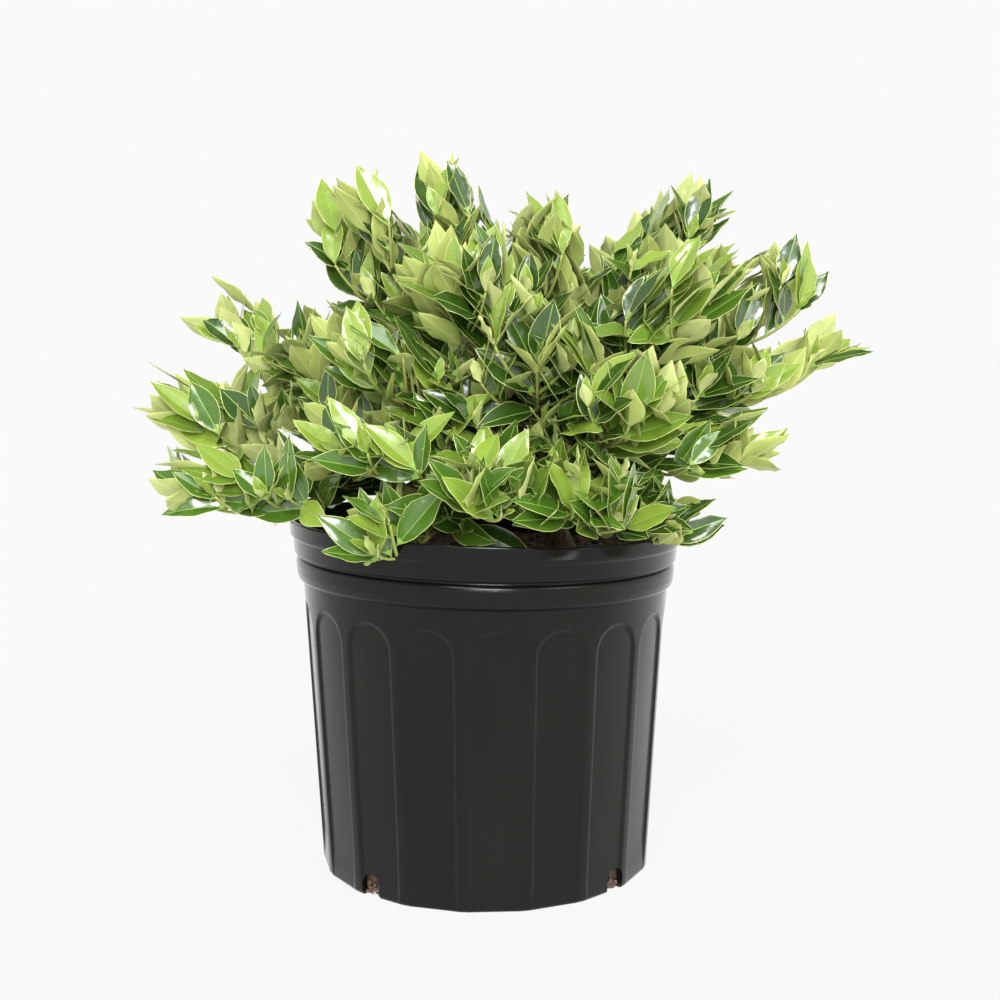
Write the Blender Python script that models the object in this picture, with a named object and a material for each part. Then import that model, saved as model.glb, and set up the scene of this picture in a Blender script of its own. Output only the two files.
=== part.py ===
"""A potted carissa holly: a low evergreen shrub in a fluted black nursery pot.

Metres, +Z up, front towards -Y. The origin is the centre of the pot's flat underside.
Bearings are in degrees seen from above: 0 is the front, 90 the right, 180 the back, 270 the left.
"""

import math
import random

import bmesh
import bpy
import numpy as np
from mathutils import Matrix, Vector

UP = Vector((0.0, 0.0, 1.0))
# Gap kept between pieces that touch on the real plant
GAP = 0.0003

# Pot
POT_HEIGHT = 0.2465
RIM_RADIUS = 0.1395
RIM_WIDTH = 0.0022
FOOT_RADIUS = 0.1182
FOOT_BEVEL = 0.0016
FOOT_RISE = 0.0040
SKIRT_TOP = 0.2035
SKIRT_TOP_RADIUS = 0.1300
FLOOR_THICKNESS = 0.0030
INNER_FOOT_RADIUS = 0.1140
INNER_SKIRT_RADIUS = 0.1250
INNER_COLLAR_RADIUS = 0.1346
COLLAR_STEP = 0.2342
RIM_LEAN = 0.028
ROUND_COLUMNS = 54

# Flutes pressed into the pot's skirt
FLUTES = 18
FLUTE_TURN = math.radians(3.3)
FLUTE_HALF_ANGLE = math.radians(8.4)
FLUTE_INNER_SHARE = 0.93
FLUTE_MID_SHARE = 0.55
FLUTE_DEPTH = 0.0006
ARCH_SPRING = 0.1720
ARCH_RISE = 0.0185
ARCH_STEP = 0.0012

# Drain holes, which notch the pot's lower corner
DRAIN_HOLES = 4
DRAIN_TURN = math.radians(-41.0)
DRAIN_WIDTH = 0.0150
DRAIN_FOOT = -0.0010
DRAIN_TOP = 0.0160
DRAIN_CUT = 0.004

# Soil
SOIL_TOP = 0.2205

# Trunk, whose head is a knob that the main boughs stand round
TRUNK_FOOT = Vector((0.056, 0.008, SOIL_TOP + GAP))
FORK = Vector((0.038, 0.0, 0.270))
TRUNK_FLARE_RADIUS = 0.0140
TRUNK_RADIUS = 0.0103
KNOB_RADIUS = 0.0095
KNOB_LATITUDES = (-28, 0, 30, 60)
TRUNK_SIDES = 12
# (share of the way up, radius)
TRUNK_RINGS = (
    (0.0, TRUNK_FLARE_RADIUS),
    (0.06, 0.0122),
    (0.16, 0.0110),
    (0.36, TRUNK_RADIUS),
    (0.66, 0.0098),
)

# Boughs
MAIN_RADIUS = 0.0036
SIDE_RADIUS = 0.0026
BOUGH_TIP_RADIUS = 0.0018
BOUGH_RINGS = 5
MAIN_SIDES = 8
SIDE_SIDES = 5
BRANCHING_ANGLE = math.radians(48.0)
LEAST_START_RISE = 14.0
FIRST_STATION = 0.8
STATION_SPAN = 2.6
ENTRY_SHARE = 0.42
BOUGH_CREASE = 50.0

# Leaves
LEAF_LENGTH = 0.050
LEAF_WIDTH = 0.0235
LEAF_THICKNESS = 0.0013
LEAF_FOLD = math.radians(24.0)
LEAF_WIDEST = 0.50
LEADING_LIFT = math.radians(5.0)
LEADING_TURN = 0.4
LEADING_SIZE = 0.93
LEADING_SHARE = 0.86
LEAF_SPACING = 0.0026
LEAF_TURN_GUIDE = Vector((0.3, -0.2, 0.93))
FACE_TO_SKY = 0.35
LOWEST_LEAF = -0.45
ROOT_DEPTH = 0.0005
ROSETTE_LEAVES = 5
ROSETTE_START = 0.0030
ROSETTE_STEP = 0.0020
ROSETTE_LIFT = (24.0, 52.0)
ROSETTE_SIZE = (0.84, 1.0)
ROSETTE_JITTER = 0.2
NODE_SPACING = 0.0105
NODE_LIFT = (48.0, 66.0)
NODE_SIZE = (0.88, 1.05)
LAST_NODE = 0.004
GOLDEN_ANGLE = math.radians(137.5)
# What is tried for a leaf until it has room: (turn round its shoot, added lift, share of its size)
LEAF_TRIES = (
    (0.0, 0.0, 1.0),
    (0.5, 0.0, 1.0),
    (-0.5, 0.0, 1.0),
    (0.9, 0.1, 0.95),
    (-0.9, 0.1, 0.95),
    (0.25, -0.3, 0.9),
    (-0.25, 0.3, 0.85),
)

# Twigs
TWIG_RADIUS = 0.0021
TWIG_TIP_RADIUS = 0.0015
TWIG_SIDES = 3
TWIG_SAMPLE_STEP = 0.004
STEM_RINGS = 4
STEM_SAG = 0.03
SIDE_SHOOTS = 9
FIRST_SIDE_SHOOT = 0.14
SIDE_SHOOT_SPAN = 0.76
SIDE_LENGTH = 0.066
SIDE_THICKNESS = 0.9
SIDE_ANGLE = math.radians(52.0)
SIDE_ANGLE_JITTER = 0.12
SIDE_TURN_JITTER = 0.3
SIDE_SHOOT_SHARES = (1.0, 0.85, 0.7, 0.55, 0.4)
SIDE_SHOOT_TURNS = (0.0, 0.7, -0.7, 1.4, -1.4, math.pi)
FEWEST_LEAVES = 2
LOWEST_SIDE_SHOOT = -0.25

# Room for each mass
CELL_MARGIN = 0.0006
LIMB_CLEARANCE = 0.0009
POT_CLEARANCE = 0.0025
POT_WALL_RADIUS = 0.1280
TIP_LENGTH = 0.045
BODY_SLOPE = 2.4
UNDER_WEIGHT = 0.3
LEAF_ALLOWANCE = 0.010
SEED = 41

# Each shoot of the crown: bearing, rise above level, reach of its furthest leaf from the fork and
# the half width of its tip. The first ones are main boughs off the trunk; the others branch from
# the main bough nearest them.
MAIN_SHOOTS = {
    "left": (266, 10.5, 0.299, 0.037),
    "front_left": (316, 12, 0.217, 0.036),
    "front_right": (20, 21, 0.200, 0.036),
    "right": (90, 25, 0.254, 0.026),
    "back_right": (140, 20, 0.235, 0.036),
    "back_left": (215, 18, 0.250, 0.036),
    "top": (250, 70.5, 0.254, 0.029),
}
SIDE_BOUGHS = {
    "left_low": (280, 0.5, 0.276, 0.034),
    "left_high": (256, 25, 0.293, 0.037),
    "left_shoulder": (257, 50, 0.270, 0.035),
    "upper_left": (283, 57, 0.261, 0.028),
    "upper_right": (10, 82, 0.219, 0.027),
    "right_high": (97, 59.5, 0.255, 0.034),
    "right_shoulder": (100, 37.5, 0.262, 0.038),
    "right_mid": (72, 11, 0.184, 0.034),
    "right_low": (42, -9, 0.157, 0.034),
    "front_left_low": (323, -7, 0.210, 0.036),
    "front_left_high": (309, 31, 0.214, 0.036),
    "front_low": (344, 3, 0.203, 0.036),
    "front_right_low": (7, 2, 0.182, 0.036),
    "front_high": (358, 35, 0.200, 0.036),
    "front_top": (329, 51, 0.212, 0.036),
    "front_right_high": (56, 46, 0.224, 0.036),
    "back": (178, 24, 0.228, 0.036),
    "back_low": (190, 0, 0.215, 0.036),
    "back_top": (178, 60, 0.240, 0.034),
    "back_left_high": (222, 47, 0.248, 0.036),
    "back_right_high": (112, 61, 0.238, 0.029),
}
SHOOTS = {**MAIN_SHOOTS, **SIDE_BOUGHS}

# Looks: base colour, roughness
PLASTIC = ((0.022, 0.023, 0.022, 1.0), 0.42)
POTTING_MIX = ((0.060, 0.036, 0.022, 1.0), 0.95)
BARK = ((0.150, 0.105, 0.065, 1.0), 0.85)
LEAF_GREEN = ((0.060, 0.160, 0.030, 1.0), 0.35)


def clear_scene():
    for obj in list(bpy.data.objects):
        bpy.data.objects.remove(obj, do_unlink=True)


def material(name, look):
    colour, roughness = look
    made = bpy.data.materials.new(name)
    made.use_nodes = True
    shader = made.node_tree.nodes["Principled BSDF"]
    shader.inputs["Base Color"].default_value = colour
    shader.inputs["Roughness"].default_value = roughness
    shader.inputs["Metallic"].default_value = 0.0
    return made


def object_from_bmesh(name, shape, look=None):
    mesh = bpy.data.meshes.new(name)
    bmesh.ops.recalc_face_normals(shape, faces=shape.faces)
    shape.to_mesh(mesh)
    shape.free()
    if look:
        mesh.materials.append(look)
    made = bpy.data.objects.new(name, mesh)
    bpy.context.scene.collection.objects.link(made)
    return made


def shade_round(obj, crease_degrees=35.0):
    obj.data.shade_smooth()
    obj.data.set_sharp_from_angle(angle=math.radians(crease_degrees))


# Pot and soil


def leaned(x, y, z):
    """The soft rim leans a little to the right, and the foot stays level."""
    return Vector((x, y, z - RIM_LEAN * x * (z / POT_HEIGHT) ** 2))


def around(angle, radius, z):
    return leaned(radius * math.sin(angle), -radius * math.cos(angle), z)


def skirt_radius(z):
    share = z / SKIRT_TOP
    return FOOT_RADIUS + share * (SKIRT_TOP_RADIUS - FOOT_RADIUS)


def flute_columns():
    """(angle, share across its flute) for every column of the skirt; a share of 1 is a rib's edge."""
    inner, mid = FLUTE_INNER_SHARE, FLUTE_MID_SHARE
    for flute in range(FLUTES):
        centre = FLUTE_TURN + flute * math.tau / FLUTES
        for share in (-1.0, -inner, -mid, 0.0, mid, inner, 1.0):
            yield centre + share * FLUTE_HALF_ANGLE, share


def flute_recess(share, z):
    """How far the flute's flat floor lies inside the round wall."""
    if abs(share) == 1.0:
        return 0.0
    half = FLUTE_INNER_SHARE * FLUTE_HALF_ANGLE
    inner = skirt_radius(z) - FLUTE_DEPTH
    return skirt_radius(z) - inner * math.cos(half) / math.cos(share * FLUTE_HALF_ANGLE)


def skirt_rings():
    """Rings of points from the underside's edge up to the skirt's top."""
    columns = list(flute_columns())
    arch = [ARCH_SPRING + ARCH_RISE * math.sqrt(1.0 - share * share) for _, share in columns]
    foot, rise, under, over, top = [], [], [], [], []
    for (angle, share), height in zip(columns, arch):
        foot.append(around(angle, skirt_radius(0.0) - FOOT_BEVEL - flute_recess(share, 0.0), 0.0))
        rise.append(around(angle, skirt_radius(FOOT_RISE) - flute_recess(share, FOOT_RISE), FOOT_RISE))
        low = height - ARCH_STEP
        under.append(around(angle, skirt_radius(low) - flute_recess(share, low), low))
        over.append(around(angle, skirt_radius(height), height))
        top.append(around(angle, SKIRT_TOP_RADIUS, SKIRT_TOP))
    return [foot, rise, under, over, top]


def collar_profile():
    """(radius, height) from the skirt's top, over the rim and down to the inner floor."""
    return [
        (0.1338, 0.2068),
        (0.1350, 0.2160),
        (0.1340, 0.2197),
        (0.1327, 0.2215),
        (0.1361, 0.2234),
        (0.1370, COLLAR_STEP),
        (0.1386, 0.2356),
        (RIM_RADIUS, 0.2450),
        (RIM_RADIUS - 0.0006, POT_HEIGHT),
        (RIM_RADIUS - RIM_WIDTH, POT_HEIGHT),
        (INNER_COLLAR_RADIUS, COLLAR_STEP),
        (INNER_SKIRT_RADIUS, SKIRT_TOP),
        (INNER_FOOT_RADIUS, FLOOR_THICKNESS),
    ]


def stitch(shape, low, high):
    """Faces between two closed rings of vertices, whose counts may differ."""
    i = j = 0
    while i < len(low) or j < len(high):
        a, b = low[i % len(low)], high[j % len(high)]
        if j == len(high) or (i < len(low) and (i + 1) / len(low) <= (j + 1) / len(high)):
            shape.faces.new((a, low[(i + 1) % len(low)], b))
            i += 1
        else:
            shape.faces.new((a, high[(j + 1) % len(high)], b))
            j += 1


def bridge(shape, low, high):
    """Quads between two closed rings with the same number of vertices."""
    for i in range(len(low)):
        k = (i + 1) % len(low)
        shape.faces.new((low[i], low[k], high[k], high[i]))


def pot_body():
    shape = bmesh.new()
    skirt = [[shape.verts.new(p) for p in ring] for ring in skirt_rings()]
    for low, high in zip(skirt, skirt[1:]):
        bridge(shape, low, high)
    start = FLUTE_TURN - FLUTE_HALF_ANGLE
    collar = []
    for radius, z in collar_profile():
        turn = math.tau / ROUND_COLUMNS
        collar.append([shape.verts.new(around(start + k * turn, radius, z)) for k in range(ROUND_COLUMNS)])
    stitch(shape, skirt[-1], collar[0])
    for low, high in zip(collar, collar[1:]):
        bridge(shape, low, high)
    shape.faces.new(skirt[0])
    shape.faces.new(collar[-1])
    return shape


def drain_cutter(index):
    """An upright block with a gabled top that cuts through the wall and the edge of the floor."""
    shape = bmesh.new()
    angle = DRAIN_TURN + index * math.tau / DRAIN_HOLES
    half = DRAIN_WIDTH / 2
    shoulder = DRAIN_TOP - half
    outline = [(-half, DRAIN_FOOT), (half, DRAIN_FOOT), (half, shoulder), (0.0, DRAIN_TOP), (-half, shoulder)]
    turn = Matrix.Rotation(angle, 4, "Z")
    rings = []
    for radius in (INNER_FOOT_RADIUS - DRAIN_CUT, FOOT_RADIUS + DRAIN_CUT):
        rings.append([shape.verts.new(turn @ Vector((x, -radius, z))) for x, z in outline])
    bridge(shape, rings[0], rings[1])
    for ring in rings:
        shape.faces.new(ring)
    cutter = object_from_bmesh(f"drain_cutter_{index}", shape)
    cutter.hide_render = True
    cutter.display_type = "WIRE"
    return cutter


def make_pot():
    pot = object_from_bmesh("pot", pot_body(), material("pot_plastic", PLASTIC))
    for index in range(DRAIN_HOLES):
        cut = pot.modifiers.new(f"drain_{index}", "BOOLEAN")
        cut.operation = "DIFFERENCE"
        cut.object = drain_cutter(index)
    shade_round(pot)


def soil_top_radius(angle):
    """Where the level soil meets the leaning inner wall."""
    x = INNER_SKIRT_RADIUS * math.sin(angle)
    wall_height = SOIL_TOP + RIM_LEAN * x * (SOIL_TOP / POT_HEIGHT) ** 2
    share = (wall_height - SKIRT_TOP) / (COLLAR_STEP - SKIRT_TOP)
    return INNER_SKIRT_RADIUS + share * (INNER_COLLAR_RADIUS - INNER_SKIRT_RADIUS) - 2 * GAP


def make_soil():
    """Fills the pot to a level top, clear of its wall and floor."""
    turn = math.tau / ROUND_COLUMNS
    angles = [FLUTE_TURN - FLUTE_HALF_ANGLE + k * turn for k in range(ROUND_COLUMNS)]
    shape = bmesh.new()
    foot = [shape.verts.new(around(a, INNER_FOOT_RADIUS - GAP, FLOOR_THICKNESS + GAP)) for a in angles]
    neck = [shape.verts.new(around(a, INNER_SKIRT_RADIUS - GAP, SKIRT_TOP)) for a in angles]
    top = []
    for angle in angles:
        point = around(angle, soil_top_radius(angle), SOIL_TOP)
        point.z = SOIL_TOP
        top.append(shape.verts.new(point))
    bridge(shape, foot, neck)
    bridge(shape, neck, top)
    shape.faces.new(foot)
    shape.faces.new(top)
    shade_round(object_from_bmesh("soil", shape, material("potting_mix", POTTING_MIX)))


# Limbs


def aim(name):
    bearing, rise, _, _ = SHOOTS[name]
    return heading(bearing, rise)


def heading(bearing, rise):
    b, r = math.radians(bearing), math.radians(rise)
    return Vector((math.sin(b) * math.cos(r), -math.cos(b) * math.cos(r), math.sin(r)))


def square_to(direction, guide):
    """The part of guide that is square to direction, as a unit vector."""
    return (guide - guide.dot(direction) * direction).normalized()


def tapered(base, tip, count):
    """Radii that run evenly from base to tip."""
    return [base + (tip - base) * k / (count - 1) for k in range(count)]


def tube(points, radii, sides, first_heading, last_heading):
    """A closed tapering tube along the points, whose flat ends are square to the two headings."""
    headings = [first_heading]
    headings += [(b - a).normalized() for a, b in zip(points, points[2:])]
    headings.append(last_heading)
    shape = bmesh.new()
    rings = []
    side = first_heading.orthogonal().normalized()
    for point, radius, along in zip(points, radii, headings):
        side = square_to(along, side)
        other = along.cross(side)
        ring = []
        for n in range(sides):
            turn = n * math.tau / sides
            ring.append(shape.verts.new(point + radius * (math.cos(turn) * side + math.sin(turn) * other)))
        rings.append(ring)
    for low, high in zip(rings, rings[1:]):
        bridge(shape, low, high)
    shape.faces.new(rings[0])
    shape.faces.new(rings[-1])
    return shape


def make_trunk(look):
    """Flared at the soil, leaning to the fork, where it ends in a round knob."""
    shape = bmesh.new()
    rings = [(TRUNK_FOOT.lerp(FORK, share), radius) for share, radius in TRUNK_RINGS]
    for latitude in KNOB_LATITUDES:
        angle = math.radians(latitude)
        rings.append((FORK + Vector((0, 0, KNOB_RADIUS * math.sin(angle))), KNOB_RADIUS * math.cos(angle)))
    rows = []
    for centre, radius in rings:
        row = []
        for n in range(TRUNK_SIDES):
            turn = n * math.tau / TRUNK_SIDES
            row.append(shape.verts.new(centre + radius * Vector((math.cos(turn), math.sin(turn), 0.0))))
        rows.append(row)
    for low, high in zip(rows, rows[1:]):
        bridge(shape, low, high)
    shape.faces.new(rows[0])
    shape.faces.new(rows[-1])
    shade_round(object_from_bmesh("main_stem", shape, look))


def curve(start, start_heading, end, end_heading, steps):
    """Points on a smooth curve with the given headings at its ends."""
    pull = (end - start).length / 3
    a, b, c, d = start, start + pull * start_heading, end - pull * end_heading, end
    points = []
    for k in range(steps + 1):
        t = k / steps
        s = 1 - t
        points.append(s**3 * a + 3 * s * s * t * b + 3 * s * t * t * c + t**3 * d)
    return points


def entry(name):
    """Where a shoot's bough ends and its foliage begins."""
    return FORK + ENTRY_SHARE * SHOOTS[name][2] * aim(name)


def bough_radii(base):
    return tapered(base, BOUGH_TIP_RADIUS, BOUGH_RINGS)


def main_bough(name):
    bearing, rise, _, _ = SHOOTS[name]
    start_heading = heading(bearing, max(rise, LEAST_START_RISE))
    start = FORK + (KNOB_RADIUS + GAP) * start_heading
    return curve(start, start_heading, entry(name), aim(name), BOUGH_RINGS - 1), start_heading


def nearest_main(name):
    return max(MAIN_SHOOTS, key=lambda main: aim(main).dot(aim(name)))


def side_bough(name, parent_points, station):
    """A bough that leaves its parent at a place between two of the parent's rings."""
    k = int(station)
    base = parent_points[k].lerp(parent_points[k + 1], station - k)
    along = (parent_points[k + 1] - parent_points[k]).normalized()
    away = square_to(along, entry(name) - base)
    start_heading = math.cos(BRANCHING_ANGLE) * along + math.sin(BRANCHING_ANGLE) * away
    radii = bough_radii(MAIN_RADIUS)
    parent_radius = radii[k] + (radii[k + 1] - radii[k]) * (station - k)
    clear = (parent_radius + GAP + SIDE_RADIUS * math.cos(BRANCHING_ANGLE)) / math.sin(BRANCHING_ANGLE)
    points = curve(base + clear * start_heading, start_heading, entry(name), aim(name), BOUGH_RINGS - 1)
    return points, start_heading


def bough_paths():
    """Every bough's points, radii and first heading by name."""
    paths = {}
    for name in MAIN_SHOOTS:
        points, start_heading = main_bough(name)
        paths[name] = (points, bough_radii(MAIN_RADIUS), start_heading)
    for main in MAIN_SHOOTS:
        children = [name for name in SIDE_BOUGHS if nearest_main(name) == main]
        for order, name in enumerate(children):
            station = FIRST_STATION + STATION_SPAN * order / len(children)
            points, start_heading = side_bough(name, paths[main][0], station)
            paths[name] = (points, bough_radii(SIDE_RADIUS), start_heading)
    return paths


# Foliage


class Space:
    """What a mass may fill: the part of the crown nearest its own shoot, clear of limbs, pot and soil."""

    def __init__(self, name, limbs):
        self.axis = np.array(aim(name))
        self.upper_side = np.array(square_to(aim(name), UP))
        self.under_share = UNDER_WEIGHT * math.cos(math.radians(SHOOTS[name][1]))
        self.reach, self.tip_spread = SHOOTS[name][2:]
        others = [np.array(aim(other)) for other in SHOOTS if other != name]
        walls = [self.axis - other for other in others]
        self.walls = np.array([wall / np.linalg.norm(wall) for wall in walls])
        self.limbs = limbs

    def holds(self, points):
        """Whether the points, rows of x, y, z, are in the mass's share of the crown and its outline."""
        offset = points - np.array(FORK)
        if (offset @ self.walls.T).min() < CELL_MARGIN:
            return False
        aside = offset - np.outer(offset @ self.axis, self.axis)
        below = np.minimum(aside @ self.upper_side, 0.0)
        aside = np.linalg.norm(aside + np.outer(self.under_share * below, self.upper_side), axis=1)
        behind = self.reach - np.linalg.norm(offset, axis=1)
        spread = self.tip_spread + LEAF_ALLOWANCE + BODY_SLOPE * np.maximum(behind - TIP_LENGTH, 0.0)
        return bool(((behind >= -GAP) & (aside <= spread)).all())

    def clear(self, points, radius):
        return self.clear_of_limbs(points, radius) and clear_of_pot(points, radius)

    def clear_of_limbs(self, points, radius):
        starts, ends, radii = self.limbs
        span = ends - starts
        along = ((points[:, None] - starts) * span).sum(2) / (span**2).sum(1)
        nearest = starts + np.clip(along, 0, 1)[..., None] * span
        distance = np.linalg.norm(points[:, None] - nearest, axis=2)
        return bool((distance > radii + radius + LIMB_CLEARANCE).all())


def clear_of_pot(points, radius):
    """Whether the points are above the soil and off the rim and the wall."""
    out = np.hypot(points[:, 0], points[:, 1])
    rim = POT_HEIGHT - RIM_LEAN * points[:, 0]
    margin = POT_CLEARANCE + radius
    near_wall = (out > POT_WALL_RADIUS - margin) & (out < RIM_RADIUS + margin) & (points[:, 2] < rim + margin)
    in_soil = (out < RIM_RADIUS) & (points[:, 2] < SOIL_TOP + margin)
    return not bool((near_wall | in_soil).any())


def limb_segments(paths):
    starts, ends, radii = [], [], []
    for points, sizes, _ in paths.values():
        for k in range(len(points) - 1):
            starts.append(points[k])
            ends.append(points[k + 1])
            radii.append(sizes[k])
    starts.append(TRUNK_FOOT)
    ends.append(FORK)
    radii.append(TRUNK_RADIUS)
    return np.array(starts), np.array(ends), np.array(radii)


class Shoot:
    """One twig of a mass: its points, from its root to its tip."""

    def __init__(self, points, base_radius, first_heading):
        self.points = points
        self.first_heading = first_heading
        self.last_heading = (points[-1] - points[-2]).normalized()
        self.radii = tapered(base_radius, TWIG_TIP_RADIUS, len(points))
        self.length = sum((b - a).length for a, b in zip(points, points[1:]))

    def at(self, distance):
        """(point, heading) at a distance from the tip."""
        left = distance
        for a, b in zip(reversed(self.points[:-1]), reversed(self.points)):
            step = (b - a).length
            if left <= step:
                return b.lerp(a, left / step), (b - a).normalized()
            left -= step
        return self.points[0], (self.points[1] - self.points[0]).normalized()


def leaf_frame(heading_vector, azimuth, lift):
    """(along, face) of a leaf that leans out from its shoot by the angle lift, its upper face to the tip."""
    side = square_to(heading_vector, LEAF_TURN_GUIDE)
    out = Matrix.Rotation(azimuth, 3, heading_vector) @ side
    along = math.cos(lift) * heading_vector + math.sin(lift) * out
    face = math.sin(lift) * heading_vector - math.cos(lift) * out
    return along, square_to(along, face + Vector((0, 0, FACE_TO_SKY)))


def leaf_corners(root, along, face, size):
    """Root, tip, two edges, and the midrib's top and underside: a blade folded up along its midrib."""
    across = along.cross(face)
    length, half = LEAF_LENGTH * size, LEAF_WIDTH * size / 2
    middle = root + LEAF_WIDEST * length * along
    raised = half * math.tan(LEAF_FOLD) * face
    return [
        root,
        root + length * along,
        middle + half * across + raised,
        middle - half * across + raised,
        middle + LEAF_THICKNESS / 2 * face,
        middle - LEAF_THICKNESS / 2 * face,
    ]


LEAF_FACES = [(0, 2, 4), (0, 4, 3), (1, 4, 2), (1, 3, 4), (0, 5, 2), (0, 3, 5), (1, 2, 5), (1, 5, 3)]


def leaf_samples(corners):
    """Points spread over the blade, for the tests that keep it clear."""
    root, tip, left, right, top, _ = (np.array(c) for c in corners)
    rows = []
    for out in (0.0, 0.5, 1.0):
        for edge in (left, right):
            widest = top + out * (edge - top)
            rows += [root + (widest - root) * t for t in (0.3, 0.55, 0.8, 1.0)]
            rows += [widest + (tip - widest) * t for t in (0.25, 0.5, 0.75, 1.0)]
    return np.array(rows)


def main_shoot(name):
    """The mass's stem: on from the bough's tip, sagging a little, to just short of the furthest leaf."""
    start = entry(name) + GAP * aim(name)
    end = FORK + (SHOOTS[name][2] - LEADING_SHARE * LEAF_LENGTH) * aim(name)
    sag = STEM_SAG * (end - start).length
    points = []
    for k in range(STEM_RINGS):
        t = k / (STEM_RINGS - 1)
        points.append(start.lerp(end, t) - Vector((0, 0, 4 * sag * t * (1 - t))))
    points[0] = start
    return Shoot(points, TWIG_RADIUS, aim(name))


def side_shoot(stem, order, space, placed, rng):
    """The twig that leaves the stem at this place, turned and cut short until it has room, or None."""
    distance = stem.length * (FIRST_SIDE_SHOOT + SIDE_SHOOT_SPAN * order / (SIDE_SHOOTS - 1))
    base, along = stem.at(distance)
    azimuth = order * GOLDEN_ANGLE + rng.uniform(-SIDE_TURN_JITTER, SIDE_TURN_JITTER)
    lean = SIDE_ANGLE + rng.uniform(-SIDE_ANGLE_JITTER, SIDE_ANGLE_JITTER)
    for share in SIDE_SHOOT_SHARES:
        for turn in SIDE_SHOOT_TURNS:
            out, _ = leaf_frame(along, azimuth + turn, lean)
            end = base + SIDE_LENGTH * share * out
            samples = np.array([base.lerp(end, t) for t in (0.2, 0.4, 0.6, 0.8, 1.0)])
            if out.z < LOWEST_SIDE_SHOOT or not space.holds(samples):
                continue
            if space.clear(samples, TWIG_RADIUS) and far_apart(samples, placed[1:]):
                return Shoot([base - ROOT_DEPTH * out, end], SIDE_THICKNESS * TWIG_RADIUS, out)
    return None


def leaf_places(shoot, rng):
    """(root, heading, azimuth, lift, size) down a shoot, the tip's rosette first."""
    places = []
    turn = rng.uniform(0, math.tau)
    for k in range(ROSETTE_LEAVES):
        root, along = shoot.at(ROSETTE_START + ROSETTE_STEP * k)
        lift = math.radians(rng.uniform(*ROSETTE_LIFT))
        places.append((root, along, turn, lift, rng.uniform(*ROSETTE_SIZE)))
        turn += math.tau / ROSETTE_LEAVES + rng.uniform(-ROSETTE_JITTER, ROSETTE_JITTER)
    distance = NODE_SPACING
    while distance < shoot.length - LAST_NODE:
        root, along = shoot.at(distance)
        turn += GOLDEN_ANGLE
        lift = math.radians(rng.uniform(*NODE_LIFT))
        places.append((root, along, turn, lift, rng.uniform(*NODE_SIZE)))
        distance += NODE_SPACING
    return places


def far_apart(samples, placed):
    """Whether a blade stays off those already placed, leaving out their crowded roots."""
    for other in placed:
        gap = np.linalg.norm(samples[:, None] - other, axis=2).min()
        if gap < LEAF_SPACING:
            return False
    return True


def twig_samples(shoot):
    steps = int(shoot.length / TWIG_SAMPLE_STEP)
    return np.array([shoot.at(shoot.length * k / steps)[0] for k in range(steps)])


def leading_leaf(stem):
    """The leaf that goes on from the stem's tip and reaches furthest."""
    tip, along = stem.at(0.0)
    blade, face = leaf_frame(along, LEADING_TURN, LEADING_LIFT)
    return leaf_corners(tip - 4 * ROOT_DEPTH * along, blade, face, LEADING_SIZE)


def leaves_on(shoot, space, placed, rng):
    """The shoot's leaves. One with no room is turned, raised or made smaller, and then skipped."""
    leaves = []
    for root, along, azimuth, lift, size in leaf_places(shoot, rng):
        for turn, droop, shrink in LEAF_TRIES:
            blade, face = leaf_frame(along, azimuth + turn, lift + droop)
            if blade.z < LOWEST_LEAF:
                continue
            corners = leaf_corners(root - ROOT_DEPTH * blade, blade, face, size * shrink)
            samples = leaf_samples(corners)
            if not space.holds(np.array(corners[1:])) or not space.clear(samples, 0.0):
                continue
            if far_apart(samples, placed):
                leaves.append(corners)
                placed.append(samples)
                break
    return leaves


def grow(name, limbs, rng):
    """The shoots of a mass and the corners of its leaves."""
    space = Space(name, limbs)
    stem = main_shoot(name)
    shoots, leaves = [stem], [leading_leaf(stem)]
    placed = [twig_samples(stem), leaf_samples(leaves[0])]
    leaves += leaves_on(stem, space, placed, rng)
    for order in range(SIDE_SHOOTS):
        shoot = side_shoot(stem, order, space, placed, rng)
        if shoot is None:
            continue
        tried = placed + [twig_samples(shoot)]
        grown = leaves_on(shoot, space, tried, rng)
        if len(grown) >= FEWEST_LEAVES:
            shoots.append(shoot)
            leaves += grown
            placed = tried
    return shoots, leaves


def leaf_shape(corners):
    shape = bmesh.new()
    verts = [shape.verts.new(corner) for corner in corners]
    for face in LEAF_FACES:
        shape.faces.new([verts[k] for k in face])
    return shape


def islands_of(shape):
    """The surfaces that hang together by their edges, as lists of faces, the largest last."""
    unseen = set(shape.faces)
    islands = []
    while unseen:
        front = [unseen.pop()]
        island = list(front)
        while front:
            for edge in front.pop().edges:
                for face in edge.link_faces:
                    if face in unseen:
                        unseen.discard(face)
                        island.append(face)
                        front.append(face)
        islands.append(island)
    return sorted(islands, key=len)


def union_shape(base, solver):
    """The union as the modifier on base gives it with this solver, in triangles."""
    base.modifiers["union"].solver = solver
    graph = bpy.context.evaluated_depsgraph_get()
    shape = bmesh.new()
    shape.from_mesh(base.evaluated_get(graph).to_mesh())
    bmesh.ops.triangulate(shape, faces=shape.faces)
    return shape


def is_one_surface(shape):
    return all(len(edge.link_faces) == 2 for edge in shape.edges) and len(islands_of(shape)) == 1


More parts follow.
